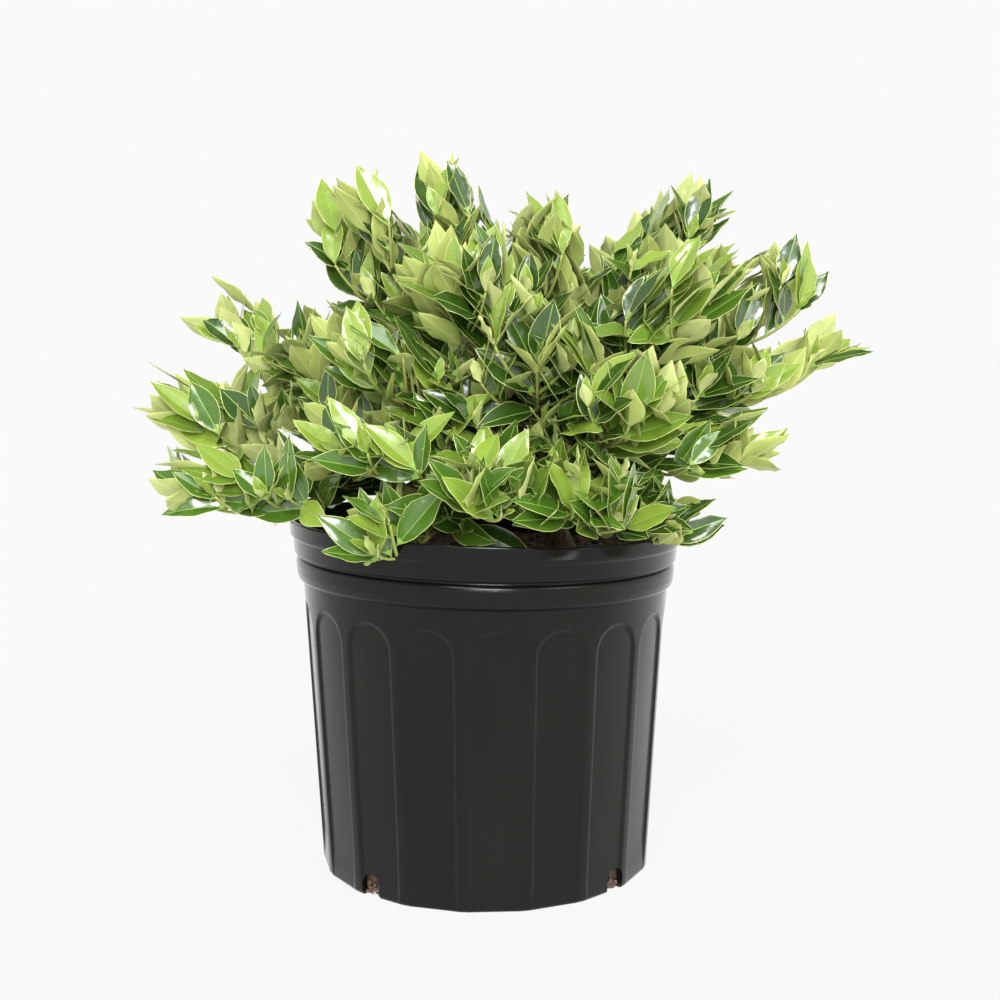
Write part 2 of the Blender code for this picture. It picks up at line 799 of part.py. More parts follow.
def joined(name, pieces, look):
    """One solid from overlapping pieces, with what their union sealed or cut loose dropped."""
    group = bpy.data.collections.new(name)
    bpy.context.scene.collection.children.link(group)
    base, others = pieces[0], pieces[1:]
    for piece in others:
        bpy.context.scene.collection.objects.unlink(piece)
        group.objects.link(piece)
    union = base.modifiers.new("union", "BOOLEAN")
    union.operation = "UNION"
    union.operand_type = "COLLECTION"
    union.collection = group
    shape = union_shape(base, "EXACT")
    if not is_one_surface(shape):
        shape.free()
        shape = union_shape(base, "MANIFOLD")
    for scrap in islands_of(shape)[:-1]:
        bmesh.ops.delete(shape, geom=scrap, context="FACES")
    for piece in pieces:
        bpy.data.objects.remove(piece, do_unlink=True)
    bpy.data.collections.remove(group)
    object_from_bmesh(name, shape, look)


def make_mass(name, limbs, look, rng):
    shoots, leaves = grow(name, limbs, rng)
    pieces = []
    for shoot in shoots:
        twig = tube(shoot.points, shoot.radii, TWIG_SIDES, shoot.first_heading, shoot.last_heading)
        pieces.append(object_from_bmesh("twig", twig))
    for corners in leaves:
        pieces.append(object_from_bmesh("leaf", leaf_shape(corners)))
    joined(f"foliage_{name}", pieces, look)


def make_plant():
    bark = material("bark", BARK)
    green = material("leaf_green", LEAF_GREEN)
    make_trunk(bark)
    paths = bough_paths()
    for name, (points, radii, start_heading) in paths.items():
        sides = MAIN_SIDES if name in MAIN_SHOOTS else SIDE_SIDES
        bough = tube(points, radii, sides, start_heading, aim(name))
        shade_round(object_from_bmesh(f"bough_{name}", bough, bark), BOUGH_CREASE)
    limbs = limb_segments(paths)
    for order, name in enumerate(SHOOTS):
        make_mass(name, limbs, green, random.Random(SEED + order))


clear_scene()
make_pot()
make_soil()
make_plant()
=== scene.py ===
"""The looks of a potted carissa holly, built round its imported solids.

Metres, +Z up, front towards -Y. The origin is the centre of the pot's flat underside.
Bearings are in degrees seen from above: 0 is the front, 90 the right, 180 the back, 270 the left.
"""

import math
import random

import bmesh
import bpy
import numpy as np
from mathutils import Matrix, Vector, noise


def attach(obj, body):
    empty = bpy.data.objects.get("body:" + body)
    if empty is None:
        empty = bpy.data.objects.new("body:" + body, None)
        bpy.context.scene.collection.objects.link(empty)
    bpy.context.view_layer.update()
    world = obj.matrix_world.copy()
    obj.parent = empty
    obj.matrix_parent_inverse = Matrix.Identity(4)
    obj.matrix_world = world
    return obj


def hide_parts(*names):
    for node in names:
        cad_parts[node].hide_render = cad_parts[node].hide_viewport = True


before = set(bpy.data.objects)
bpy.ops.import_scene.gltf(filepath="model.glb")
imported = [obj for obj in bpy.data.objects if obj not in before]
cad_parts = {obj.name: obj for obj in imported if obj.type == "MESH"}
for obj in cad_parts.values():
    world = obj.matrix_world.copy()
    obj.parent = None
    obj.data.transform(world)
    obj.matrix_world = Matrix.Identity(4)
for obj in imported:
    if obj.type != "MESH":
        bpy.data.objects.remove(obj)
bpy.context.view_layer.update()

UP = Vector((0.0, 0.0, 1.0))
WHITE = (1.0, 1.0, 1.0, 1.0)
BODY = "root"

# Pot, as its solid has it
POT_HEIGHT = 0.2465
RIM_RADIUS = 0.1395
RIM_WIDTH = 0.0022
FOOT_RADIUS = 0.1182
SKIRT_TOP = 0.2035
SKIRT_TOP_RADIUS = 0.1300
FLOOR_THICKNESS = 0.0030
INNER_FOOT_RADIUS = 0.1140
INNER_SKIRT_RADIUS = 0.1250
INNER_COLLAR_RADIUS = 0.1346
COLLAR_STEP = 0.2342
RIM_LEAN = 0.028
FLUTES = 18
FLUTE_TURN = math.radians(3.3)
FLUTE_HALF_ANGLE = math.radians(8.4)
ARCH_SPRING = 0.1720
ARCH_RISE = 0.0185
DRAIN_HOLES = 4
DRAIN_TURN = math.radians(-41.0)
DRAIN_WIDTH = 0.0150
DRAIN_FOOT = -0.0010
DRAIN_TOP = 0.0160

# The pot's finer relief: flutes with soft edges, flatter towards the top, that fade out at the foot
FLUTE_COLUMNS = 26
FLUTE_EDGE_COLUMNS = 5
RIB_COLUMNS = 3
FLUTE_DEPTH = 0.0015
FLUTE_EDGE = 0.0023
FLUTE_EDGE_SPAN = 1.3
FLATTEST_SHARE = 0.35
FLUTE_FOOT = 0.022
# (how far inside the foot, height) of the rows under the pot, out to the ring that it stands on
UNDERSIDE = ((0.0085, 0.0012), (0.0065, 0.0012), (0.0055, 0.0))
# (height, how far the skirt's foot is rounded in)
FOOT_ROUNDING = ((0.0, 0.0016), (0.0005, 0.0008), (0.0014, 0.00025), (0.0030, 0.0))
SKIRT_ROWS = 16
ARCH_ROW = 0.0010
TOP_ROWS = 6
COLLAR_COLUMNS = 360
CORNER_ROUNDING = 0.0007
CORNER_SHARE = 0.45
CORNER_STEPS = (0.0, 0.33, 0.67, 1.0)
RIM_WAVE = 0.0005
RIM_WAVES = 3
RIM_WAVE_TURN = 1.0
# (bearing, half width, depth) of the dents in the rim, which also drop it a little
DENTS = ((21.0, 8.0, 0.0036), (37.0, 7.0, 0.0036))
DENT_DROP = 0.35
DENT_FOOT = 0.2375
DRAIN_ARCH_STEPS = 8
DRAIN_CUT_PAST = 0.004
POT_CREASE = 42.0

# Soil
SOIL_TOP = 0.2205
SOIL_LUMPS = 0.0026
# (scale, place along z, share) of the noise in its lumps, from coarse to fine
SOIL_NOISE = ((60.0, 0.0, 0.6), (260.0, 4.0, 0.4), (700.0, 8.0, 0.25))
SOIL_SINK = 0.2
SOIL_BANK = 0.02
SOIL_FOOT_TOP = 0.014
SOIL_WALL_RELIEF = 0.0006
SOIL_WALL_GRAIN = (90.0, 400.0)
SOIL_COLUMNS = 200
SOIL_RINGS = 70

# Bark strewn over the mix, and crumbs of mix in the drain holes
CHIPS = 700
CHIP_LENGTH = (0.003, 0.012)
CHIP_WIDTH = (0.25, 0.6)
CHIP_FLATNESS = (0.10, 0.25)
CHIP_TILT = (0.5, 0.4)
CHIP_CORNERS = (0.65, 1.1)
CHIP_LIFT = 0.3
CHIP_WALL_MARGIN = 0.006
CHIP_TRUNK_MARGIN = 0.018
DRAIN_CRUMBS = 44
CRUMB_LENGTH = (0.0016, 0.0034)
CRUMB_FLATNESS = (0.5, 0.9)
CRUMB_SPREAD = 0.46
CRUMB_DEPTH = (0.0032, 0.0050)
# The least, greatest and commonest height
CRUMB_HEIGHT = (0.0008, 0.0085, 0.0012)

# Limbs, as the solids have them
TRUNK_FOOT = Vector((0.056, 0.008, SOIL_TOP))
FORK = Vector((0.038, 0.0, 0.270))
KNOB_RADIUS = 0.0095
KNOB_LATITUDES = (-28, 0, 30, 60, 82)
TRUNK_RINGS = ((0.0, 0.0140), (0.06, 0.0122), (0.16, 0.0110), (0.36, 0.0103), (0.66, 0.0098))
MAIN_RADIUS = 0.0036
SIDE_RADIUS = 0.0026
BOUGH_TIP_RADIUS = 0.0018
BOUGH_RINGS = 5
BRANCHING_ANGLE = math.radians(48.0)
LEAST_START_RISE = 14.0
FIRST_STATION = 0.8
STATION_SPAN = 2.6
ENTRY_SHARE = 0.42
GAP = 0.0003

# The bark's finer relief
TRUNK_SIDES = 40
TRUNK_ROWS = 36
TRUNK_SUNK_ROWS = 2
TRUNK_TOP_SHARE = 0.8
TRUNK_RELIEF = 0.0005
TRUNK_GRAIN = (60.0, 420.0)
BOUGH_SIDES = 12
BOUGH_STEPS = 26
BOUGH_RELIEF = 0.00025
BOUGH_GRAIN = (300.0, 500.0)
BARK_CREASE = 60.0

# Leaves
LEAF_LENGTH = 0.0510
LEAF_WIDTH = 0.0200
LENGTH_SPREAD = (0.94, 1.06)
WIDTH_SPREAD = (0.9, 1.1)
LEAST_HALF_WIDTH = 1e-5
LEAF_THICKNESS = 0.00040
LEAF_MARGIN = 0.00035
RIB_WIDTH = 0.00028
# The least share of a half width inside the margins, and the most that the rib takes up
LEAST_MARGIN_PLACE = 0.55
MOST_RIB_SHARE = 0.4
PETIOLE_SHARE = 0.05
# (share of the length, share of the greatest half width)
LEAF_OUTLINE = (
    (0.0, 0.04),
    (0.05, 0.08),
    (0.13, 0.34),
    (0.24, 0.69),
    (0.35, 0.92),
    (0.47, 1.00),
    (0.59, 0.95),
    (0.71, 0.77),
    (0.82, 0.50),
    (0.92, 0.21),
    (1.0, 0.0),
)
LEAF_FOLD = (14.0, 38.0)
LEAF_ARCH = (-12.0, 26.0)
LEAST_ARCH = 1e-4
LEAF_ROLL = 18.0
LEAF_TWIST = 12.0
LEAF_RECURL = 0.20
# The rounding of the fold at the midrib: an area, and the height that it adds there
FOLD_ROUNDING = 4e-7
FOLD_LIFT = 6.3e-4
LEAF_WAVE = 0.0007
WAVE_SPREAD = (0.3, 1.5)
LEAF_WAVES = 2.6
LEAF_CREASE = 65.0
MOST_LEAVES = 4000
GLOSS_SPREAD = 0.08
LEAF_TURN_GUIDE = Vector((0.3, -0.2, 0.93))
FACE_TO_SKY = 0.20
LIFT_TO_SKY = 0.25
LEAF_DROP = 0.55
ROSETTE_LEAVES = 5
ROSETTE_START = 0.0008
ROSETTE_STEP = 0.0011
ROSETTE_LIFT = (24.0, 60.0)
ROSETTE_SIZE = (0.80, 1.0)
ROSETTE_JITTER = 0.25
NODE_SPACING = 0.0088
NODE_JITTER = (0.85, 1.15)
NODE_LIFT = (42.0, 68.0)
NODE_SIZE = (0.84, 1.08)
BUD_LEAVES = 2
BUD_LIFT = (6.0, 18.0)
BUD_SIZE = (0.34, 0.50)
YOUNG_LEAVES = 2
FRESH_CHANCE = 0.55
OLDER_SHARES = (0.34, 0.38, 0.28)
# Leaves of shoots that end this near the fork are dealt darker colours and fewer fresh ones: partly
# the deeper green of leaves grown in shade, partly painted shade for the dark inside of the crown
PAINTED_SHADE_REACH = 0.140
PAINTED_SHADE_FRESH_CHANCE = 0.15
PAINTED_SHADE_SHARES = (0.75, 0.25, 0.0)
GOLDEN_ANGLE = math.radians(137.5)
LEAF_SPACING = 0.0022
# What is tried for a leaf until it has room: (turn round its shoot, added lift, share of its size)
LEAF_TRIES = (
    (0.0, 0.0, 1.0),
    (0.45, 0.0, 1.0),
    (-0.45, 0.0, 1.0),
    (0.9, 0.1, 0.95),
    (-0.9, 0.1, 0.95),
    (1.5, -0.1, 0.95),
    (-1.5, -0.1, 0.95),
    (2.3, -0.2, 0.9),
    (0.2, -0.3, 0.84),
    (-0.2, 0.3, 0.78),
)

# Twigs
TWIG_RADIUS = 0.0016
TWIG_TIP_RADIUS = 0.0008
TWIG_SIDES = 6
TWIG_RING_SPACING = 0.006
STEM_RISE = 0.7
STEM_DROP = 0.25
LAST_LEAF_SHARE = 0.9
SIDE_SHOOTS = 9
FIRST_SIDE_SHOOT = 0.02
SIDE_SHOOT_SPAN = 0.76
SIDE_TAPER = 0.45
SIDE_LENGTH = 0.066
SIDE_LENGTH_SPREAD = (0.8, 1.15)
STEM_BARE = 0.012
SIDE_BARE = 0.010
SIDE_ANGLE = math.radians(50.0)
SIDE_ANGLE_JITTER = 0.16
SIDE_TURN_JITTER = 0.4
SIDE_RISE = 1.2
SIDE_FORWARD = 0.25
SIDE_THICKNESS = 0.85
SIDE_GREEN_FROM = 0.15
SIDE_SHOOT_SHARES = (1.0, 0.85, 0.7, 0.55, 0.4)
SIDE_SHOOT_TURNS = (0.0, 0.7, -0.7, 1.4, -1.4, math.pi)
SIDE_SHOOT_DROP = 0.45
FEWEST_LEAVES = 3
INNER_SHOOTS = ((0.45, 0.9), (0.58, 3.2), (0.71, 5.4), (0.84, 1.7), (0.97, 4.1))
INNER_LENGTH = 0.055
GREEN_SHARE = 0.6

# Room for each mass
CELL_OVERLAP = 0.024
LIMB_CLEARANCE = 0.0010
POT_CLEARANCE = 0.0020
POT_WALL_RADIUS = 0.1280
TIP_LENGTH = 0.055
BODY_SLOPE = 1.3
UNDER_WEIGHT = 0.8
SEED = 41

# Each shoot of the crown: bearing, rise above level, reach of its furthest leaf from the fork and
# the half width of its tip
MAIN_SHOOTS = {
    "left": (266, 10.5, 0.299, 0.037),
    "front_left": (316, 12, 0.217, 0.036),
    "front_right": (20, 21, 0.200, 0.044),
    "right": (90, 25, 0.254, 0.026),
    "back_right": (140, 20, 0.235, 0.044),
    "back_left": (215, 18, 0.250, 0.044),
    "top": (250, 70.5, 0.254, 0.029),
}
SIDE_BOUGHS = {
    "left_low": (280, 0.5, 0.276, 0.034),
    "left_high": (256, 25, 0.293, 0.037),
    "left_shoulder": (257, 50, 0.270, 0.035),
    "upper_left": (283, 57, 0.261, 0.028),
    "upper_right": (10, 82, 0.219, 0.027),
    "right_high": (97, 59.5, 0.255, 0.034),
    "right_shoulder": (100, 37.5, 0.262, 0.038),
    "right_mid": (72, 11, 0.184, 0.034),
    "right_low": (42, -9, 0.157, 0.034),
    "front_left_low": (323, -7, 0.210, 0.036),
    "front_left_high": (309, 31, 0.214, 0.036),
    "front_low": (344, 3, 0.203, 0.036),
    "front_right_low": (7, 2, 0.182, 0.044),
    "front_high": (358, 35, 0.200, 0.044),
    "front_top": (329, 51, 0.212, 0.044),
    "front_right_high": (56, 46, 0.224, 0.044),
    "back": (178, 24, 0.228, 0.044),
    "back_low": (190, 0, 0.215, 0.044),
    "back_top": (178, 60, 0.240, 0.034),
    "back_left_high": (222, 47, 0.248, 0.044),
    "back_right_high": (112, 61, 0.238, 0.029),
}
SHOOTS = {**MAIN_SHOOTS, **SIDE_BOUGHS}

# Camera, as the photo's perspective gives it
CAMERA_PLACE = Vector((0.0102, -1.068, 0.378))
CAMERA_PITCH = math.radians(-6.28)
CAMERA_LENS = 54.0
SENSOR_WIDTH = 36.0

# Light
FLOOR_SIDE = 80.0
FLOOR_ALBEDO = 0.06
BACKDROP_LIGHT = 0.955
WORLD_HORIZON = 1.40
WORLD_ZENITH = 0.25
# Shares of that light in front of the plant and behind it
WORLD_FRONT = 0.80
WORLD_BACK = 1.10
# How much more light the floor throws on the plant than the camera sees in it: the least, and the
# most, on one side
BOUNCE = (1.20, 1.60)
BOUNCE_BEARING = 160.0
BOUNCE_FROM = (-0.10, 0.40)
# name, bearing, rise, strength and width in degrees
SUNS = (
    ("key", 348.0, 50.0, 1.6, 20.0),
    ("right", 50.0, 34.0, 0.9, 26.0),
    ("front", 3.0, 21.0, 2.8, 21.0),
)


# Helpers


def dress(obj, slot, *nodes):
    """obj rides with the plant and stands for these nodes of the frame, which it hides. The slot is
    not used.
    """
    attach(obj, BODY)
    if nodes:
        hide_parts(*nodes)
    return obj


def mesh_object(name, points, faces, looks, face_looks=None, smooth=True, crease=None):
    """One object from points, faces as rows of corners, and the number of each face's look."""
    mesh = bpy.data.meshes.new(name)
    points = np.asarray(points, dtype=np.float32).reshape(-1, 3)
    counts = np.array([len(face) for face in faces], dtype=np.int32)
    corners = np.concatenate([np.asarray(face, dtype=np.int32) for face in faces])
    mesh.vertices.add(len(points))
    mesh.vertices.foreach_set("co", points.ravel())
    mesh.loops.add(len(corners))
    mesh.loops.foreach_set("vertex_index", corners)
    mesh.polygons.add(len(counts))
    loop_starts = np.concatenate([[0], np.cumsum(counts)[:-1]])
    mesh.polygons.foreach_set("loop_start", loop_starts.astype(np.int32))
    for look in looks:
        mesh.materials.append(look)
    if face_looks is not None:
        mesh.polygons.foreach_set("material_index", np.asarray(face_looks, dtype=np.int32))
    mesh.update(calc_edges=True)
    mesh.validate()
    if smooth:
        mesh.shade_smooth()
    if crease:
        mesh.set_sharp_from_angle(angle=math.radians(crease))
    made = bpy.data.objects.new(name, mesh)
    bpy.context.scene.collection.objects.link(made)
    return made


def wrapped_quads(rows, columns, start=0):
    """Quads between rings of points that close on themselves."""
    faces = []
    for row in range(rows - 1):
        low, high = start + row * columns, start + (row + 1) * columns
        for k in range(columns):
            n = (k + 1) % columns
            faces.append((low + k, low + n, high + n, high + k))
    return faces


def capped_rings(rows, columns, start=0):
    """Quads between rings of points, then a face over the first ring and one over the last."""
    last = start + (rows - 1) * columns
    caps = [tuple(range(start + columns - 1, start - 1, -1)), tuple(range(last, last + columns))]
    return wrapped_quads(rows, columns, start) + caps


def smooth_step(value):
    t = min(max(value, 0.0), 1.0)
    return t * t * (3.0 - 2.0 * t)


# Materials


def feed(tree, node, inputs):
    """Sets inputs of the node to values, or links them to other nodes' outputs."""
    for name, value in inputs.items():
        if isinstance(value, bpy.types.NodeSocket):
            tree.links.new(value, node.inputs[name])
        else:
            node.inputs[name].default_value = value


def add_node(tree, kind, inputs=None, **settings):
    made = tree.nodes.new(f"ShaderNode{kind}")
    for name, value in settings.items():
        setattr(made, name, value)
    feed(tree, made, inputs or {})
    return made


def principled(name, colour, roughness, **values):
    made = bpy.data.materials.new(name)
    made.use_nodes = True
    shader = made.node_tree.nodes["Principled BSDF"]
    plain = {key.replace("_", " "): value for key, value in values.items()}
    feed(made.node_tree, shader, {"Base Color": (*colour, 1.0), "Roughness": roughness, **plain})
    return made, made.node_tree, shader


def noise_value(tree, scale, detail, stretch=(1.0, 1.0, 1.0), roughness=0.5):
    """A noise in the plant's own coordinates, stretched along its axes."""
    place = add_node(tree, "TexCoord").outputs["Object"]
    vector = add_node(tree, "Mapping", {"Vector": place, "Scale": stretch}).outputs["Vector"]
    values = {"Vector": vector, "Scale": scale, "Detail": detail, "Roughness": roughness}
    return add_node(tree, "TexNoise", values).outputs["Fac"]


def add_colours(tree, shader, value, stops):
    """The base colour runs through the stops, pairs of a place and a colour, as the value rises."""
    ramp = add_node(tree, "ValToRGB", {"Fac": value})
    elements = ramp.color_ramp.elements
    while len(elements) < len(stops):
        elements.new(0.5)
    for element, (position, colour) in zip(elements, stops):
        element.position = position
        element.color = (*colour, 1.0)
    feed(tree, shader, {"Base Color": ramp.outputs["Color"]})


def add_relief(tree, shader, value, distance, strength):
    bump = add_node(tree, "Bump", {"Height": value, "Distance": distance, "Strength": strength})
    feed(tree, shader, {"Normal": bump.outputs["Normal"]})


def vary_roughness(tree, shader, value, low, high):
    spread = add_node(tree, "MapRange", {"Value": value, "To Min": low, "To Max": high})
    feed(tree, shader, {"Roughness": spread.outputs["Result"]})


def product(tree, a, b):
    return add_node(tree, "Math", {0: a, 1: b}, operation="MULTIPLY").outputs["Value"]


def mottled_look(name, colour, roughness, stops, relief, grain):
    """A rough look whose colour and relief (distance, strength) follow one noise."""
    made, tree, shader = principled(name, colour, roughness)
    mottle = noise_value(tree, *grain)
    add_colours(tree, shader, mottle, stops)
    add_relief(tree, shader, mottle, *relief)
    return made


def plastic_look():
    """Satin charcoal plastic with a faint grain and dusty, slightly uneven gloss."""
    colour = (0.012, 0.0125, 0.012)
    made, tree, shader = principled("pot_plastic", colour, 0.4, Specular_IOR_Level=0.205)
    patches = noise_value(tree, 14.0, 3.0, (1.0, 1.0, 0.35))
    stops = [(0.3, (0.0028, 0.0029, 0.0028)), (0.75, (0.0060, 0.0058, 0.0052))]
    add_colours(tree, shader, patches, stops)
    vary_roughness(tree, shader, patches, 0.13, 0.26)
    add_relief(tree, shader, noise_value(tree, 900.0, 3.0), 0.00012, 0.5)
    return made


def soil_look():
    dark, mid, pale = (0.012, 0.008, 0.006), (0.045, 0.026, 0.016), (0.12, 0.065, 0.035)
    stops = [(0.3, dark), (0.5, mid), (0.7, pale)]
    grain = (260.0, 8.0, (1.0, 1.0, 1.0), 0.7)
    return mottled_look("potting_mix", (0.05, 0.03, 0.02), 0.95, stops, (0.0012, 0.9), grain)


def chip_looks():
    """Dark, reddish and greyed bark, each mottled."""
    kinds = (
        ("chip_dark", (0.020, 0.012, 0.008), (0.070, 0.042, 0.026)),
        ("chip_red", (0.060, 0.028, 0.014), (0.170, 0.085, 0.045)),
        ("chip_grey", (0.050, 0.040, 0.030), (0.160, 0.125, 0.090)),
    )
    looks = []
    for name, dark, pale in kinds:
        stops = [(0.35, dark), (0.7, pale)]
        looks.append(mottled_look(name, dark, 0.9, stops, (0.0004, 0.7), (380.0, 5.0)))
    return looks


def bark_look():
    """Grey-brown bark, streaked along the limb."""
    stops = [(0.3, (0.045, 0.028, 0.018)), (0.5, (0.13, 0.085, 0.05)), (0.72, (0.27, 0.20, 0.13))]
    grain = (330.0, 6.0, (1.0, 1.0, 0.14), 0.65)
    return mottled_look("bark", (0.15, 0.105, 0.065), 0.85, stops, (0.0006, 0.8), grain)


def leaf_look(name, colour, roughness, relief, **values):
    """A leathery blade: one plain colour under a slightly uneven skin that breaks up its gloss."""
    made, tree, shader = principled(name, colour, roughness, **values)
    quilting = noise_value(tree, 210.0, 2.0)
    add_relief(tree, shader, quilting, 0.0010, relief)
    vary_roughness(tree, shader, quilting, roughness - GLOSS_SPREAD, roughness + GLOSS_SPREAD)
    return made


def leaf_looks():
    """The looks in the order of a leaf mesh's slots."""
    top = {"relief": 0.18, "Specular_IOR_Level": 0.6, "Coat_Weight": 0.5, "Coat_Roughness": 0.10}
    under = {"relief": 0.2, "Specular_IOR_Level": 0.35}
    return [
        leaf_look("leaf_deep", (0.026, 0.068, 0.006), 0.24, **top),
        leaf_look("leaf_mid", (0.056, 0.134, 0.011), 0.24, **top),
        leaf_look("leaf_bright", (0.118, 0.205, 0.020), 0.26, **top),
        leaf_look("leaf_fresh", (0.215, 0.320, 0.038), 0.28, **top),
        leaf_look("leaf_under", (0.575, 0.635, 0.235), 0.55, **under),
        leaf_look("leaf_under_green", (0.475, 0.550, 0.150), 0.55, **under),
        leaf_look("leaf_margin", (0.560, 0.620, 0.220), 0.45, **under),
        leaf_look("leaf_rib", (0.230, 0.380, 0.070), 0.40, **under),
        leaf_look("leaf_rib_under", (0.660, 0.710, 0.330), 0.50, **under),
    ]


# Numbers of those looks
OLDER_LOOKS = (0, 1, 2)
FRESH_LOOK = 3
UNDER_LOOKS = (4, 5)
FIXED_LOOKS = {"margin": 6, "rib": 7, "rib_under": 8}


def twig_looks():
    brown = principled("twig_brown", (0.150, 0.105, 0.050), 0.75)[0]
    green = principled("twig_green", (0.330, 0.370, 0.090), 0.50)[0]
    return [brown, green]


# Limbs


def aim(name):
    bearing, rise, _, _ = SHOOTS[name]
    return heading(bearing, rise)


def heading(bearing, rise):
    b, r = math.radians(bearing), math.radians(rise)
    return Vector((math.sin(b) * math.cos(r), -math.cos(b) * math.cos(r), math.sin(r)))


def square_to(direction, guide):
    """The part of guide that is square to direction, as a unit vector."""
    return (guide - guide.dot(direction) * direction).normalized()


def tapered(base, tip, count):
    return [base + (tip - base) * k / (count - 1) for k in range(count)]


def curve(start, start_heading, end, end_heading, steps):
    """Points on a smooth curve with the given headings at its ends."""
    pull = (end - start).length / 3
    a, b, c, d = start, start + pull * start_heading, end - pull * end_heading, end
    points = []
    for k in range(steps + 1):
        t = k / steps
        s = 1 - t
        points.append(s**3 * a + 3 * s * s * t * b + 3 * s * t * t * c + t**3 * d)
    return points


def entry(name):
    """Where a shoot's bough ends and its foliage begins."""
    return FORK + ENTRY_SHARE * SHOOTS[name][2] * aim(name)


def bough_radii(base):
    return tapered(base, BOUGH_TIP_RADIUS, BOUGH_RINGS)


def main_bough(name):
    bearing, rise, _, _ = SHOOTS[name]
    start_heading = heading(bearing, max(rise, LEAST_START_RISE))
    start = FORK + (KNOB_RADIUS + GAP) * start_heading
    return curve(start, start_heading, entry(name), aim(name), BOUGH_RINGS - 1), start_heading


def nearest_main(name):
    return max(MAIN_SHOOTS, key=lambda main: aim(main).dot(aim(name)))


def side_bough(name, parent_points, station):
    """A bough that leaves its parent at a place between two of the parent's rings."""
    k = int(station)
    base = parent_points[k].lerp(parent_points[k + 1], station - k)
    along = (parent_points[k + 1] - parent_points[k]).normalized()
    away = square_to(along, entry(name) - base)
    start_heading = math.cos(BRANCHING_ANGLE) * along + math.sin(BRANCHING_ANGLE) * away
    points = curve(base, start_heading, entry(name), aim(name), BOUGH_RINGS - 1)
    return points, start_heading


def bough_paths():
    """Every bough's points, radii and first heading by name."""
    paths = {}
    for name in MAIN_SHOOTS:
        points, start_heading = main_bough(name)
        paths[name] = (points, bough_radii(MAIN_RADIUS), start_heading)
    for main in MAIN_SHOOTS:
        children = [name for name in SIDE_BOUGHS if nearest_main(name) == main]
        for order, name in enumerate(children):
            station = FIRST_STATION + STATION_SPAN * order / len(children)
            points, start_heading = side_bough(name, paths[main][0], station)
            paths[name] = (points, bough_radii(SIDE_RADIUS), start_heading)
    return paths


# Foliage


class Space:
    """What a mass may fill: the crown nearest its own shoot, clear of limbs, pot and soil."""

    def __init__(self, name, limbs):
        self.axis = np.array(aim(name))
        self.upper_side = np.array(square_to(aim(name), UP))
        self.under_weight = 1.0 + UNDER_WEIGHT * math.cos(math.radians(SHOOTS[name][1]))
        self.reach, self.tip_spread = SHOOTS[name][2:]
        others = [np.array(aim(other)) for other in SHOOTS if other != name]
        walls = [self.axis - other for other in others]
        self.walls = np.array([wall / np.linalg.norm(wall) for wall in walls])
        self.limbs = limbs

    def holds(self, points):
        """Whether the points, rows of x, y, z, are in the mass's share and outline of the crown."""
        offset = points - np.array(FORK)
        if (offset @ self.walls.T).min() < -CELL_OVERLAP:
            return False
        aside = offset - np.outer(offset @ self.axis, self.axis)
        below = np.minimum(aside @ self.upper_side, 0.0)
        weighed = aside + np.outer((self.under_weight - 1.0) * below, self.upper_side)
        aside = np.linalg.norm(weighed, axis=1)
        behind = self.reach - np.linalg.norm(offset, axis=1)
        spread = self.tip_spread + BODY_SLOPE * np.maximum(behind - TIP_LENGTH, 0.0)
        return bool(((behind >= -GAP) & (aside <= spread)).all())

    def clear(self, points, radius):
        return clear_of_pot(points, radius) and self.clear_of_limbs(points, radius)

    def clear_of_limbs(self, points, radius):
        starts, ends, radii = self.limbs
        span = ends - starts
        along = ((points[:, None] - starts) * span).sum(2) / (span**2).sum(1)
        nearest = starts + np.clip(along, 0, 1)[..., None] * span
        distance = np.linalg.norm(points[:, None] - nearest, axis=2)
        return bool((distance > radii + radius + LIMB_CLEARANCE).all())


def clear_of_pot(points, radius):
    """Whether the points are above the soil and off the rim and the wall."""
    out = np.hypot(points[:, 0], points[:, 1])
    rim = POT_HEIGHT - RIM_LEAN * points[:, 0]
    margin = POT_CLEARANCE + radius
    over_wall = (out > POT_WALL_RADIUS - margin) & (out < RIM_RADIUS + margin)
    near_wall = over_wall & (points[:, 2] < rim + margin)
    in_soil = (out < RIM_RADIUS) & (points[:, 2] < SOIL_TOP + margin)
    return not bool((near_wall | in_soil).any())


def limb_segments(paths):
    starts, ends, radii = [TRUNK_FOOT], [FORK], [TRUNK_RINGS[3][1]]
    for points, sizes, _ in paths.values():
        for k in range(len(points) - 1):
            starts.append(points[k])
            ends.append(points[k + 1])
            radii.append(sizes[k])
    return np.array(starts), np.array(ends), np.array(radii)


class Shoot:
    """One twig: its points from root to tip, its radii, and how far up it turns green."""

    def __init__(self, points, base_radius, green_from):
        self.points = points
        self.radii = tapered(base_radius, TWIG_TIP_RADIUS, len(points))
        self.green_from = green_from
        self.length = sum((b - a).length for a, b in zip(points, points[1:]))

    def end_at(self, distance):
        """Cuts the shoot off at a distance from its tip."""
        tip, _ = self.at(distance)
        passed = 0.0
        while len(self.points) > 2:
            passed += (self.points[-1] - self.points[-2]).length
            if passed >= distance:
                break
            self.points.pop()
            self.radii.pop()
        self.points[-1] = tip

    def at(self, distance):
        """(point, heading) at a distance from the tip."""
        left = distance
        for a, b in zip(reversed(self.points[:-1]), reversed(self.points)):
            step = (b - a).length
            if left <= step:
                return b.lerp(a, left / step), (b - a).normalized()
            left -= step
        return self.points[0], (self.points[1] - self.points[0]).normalized()


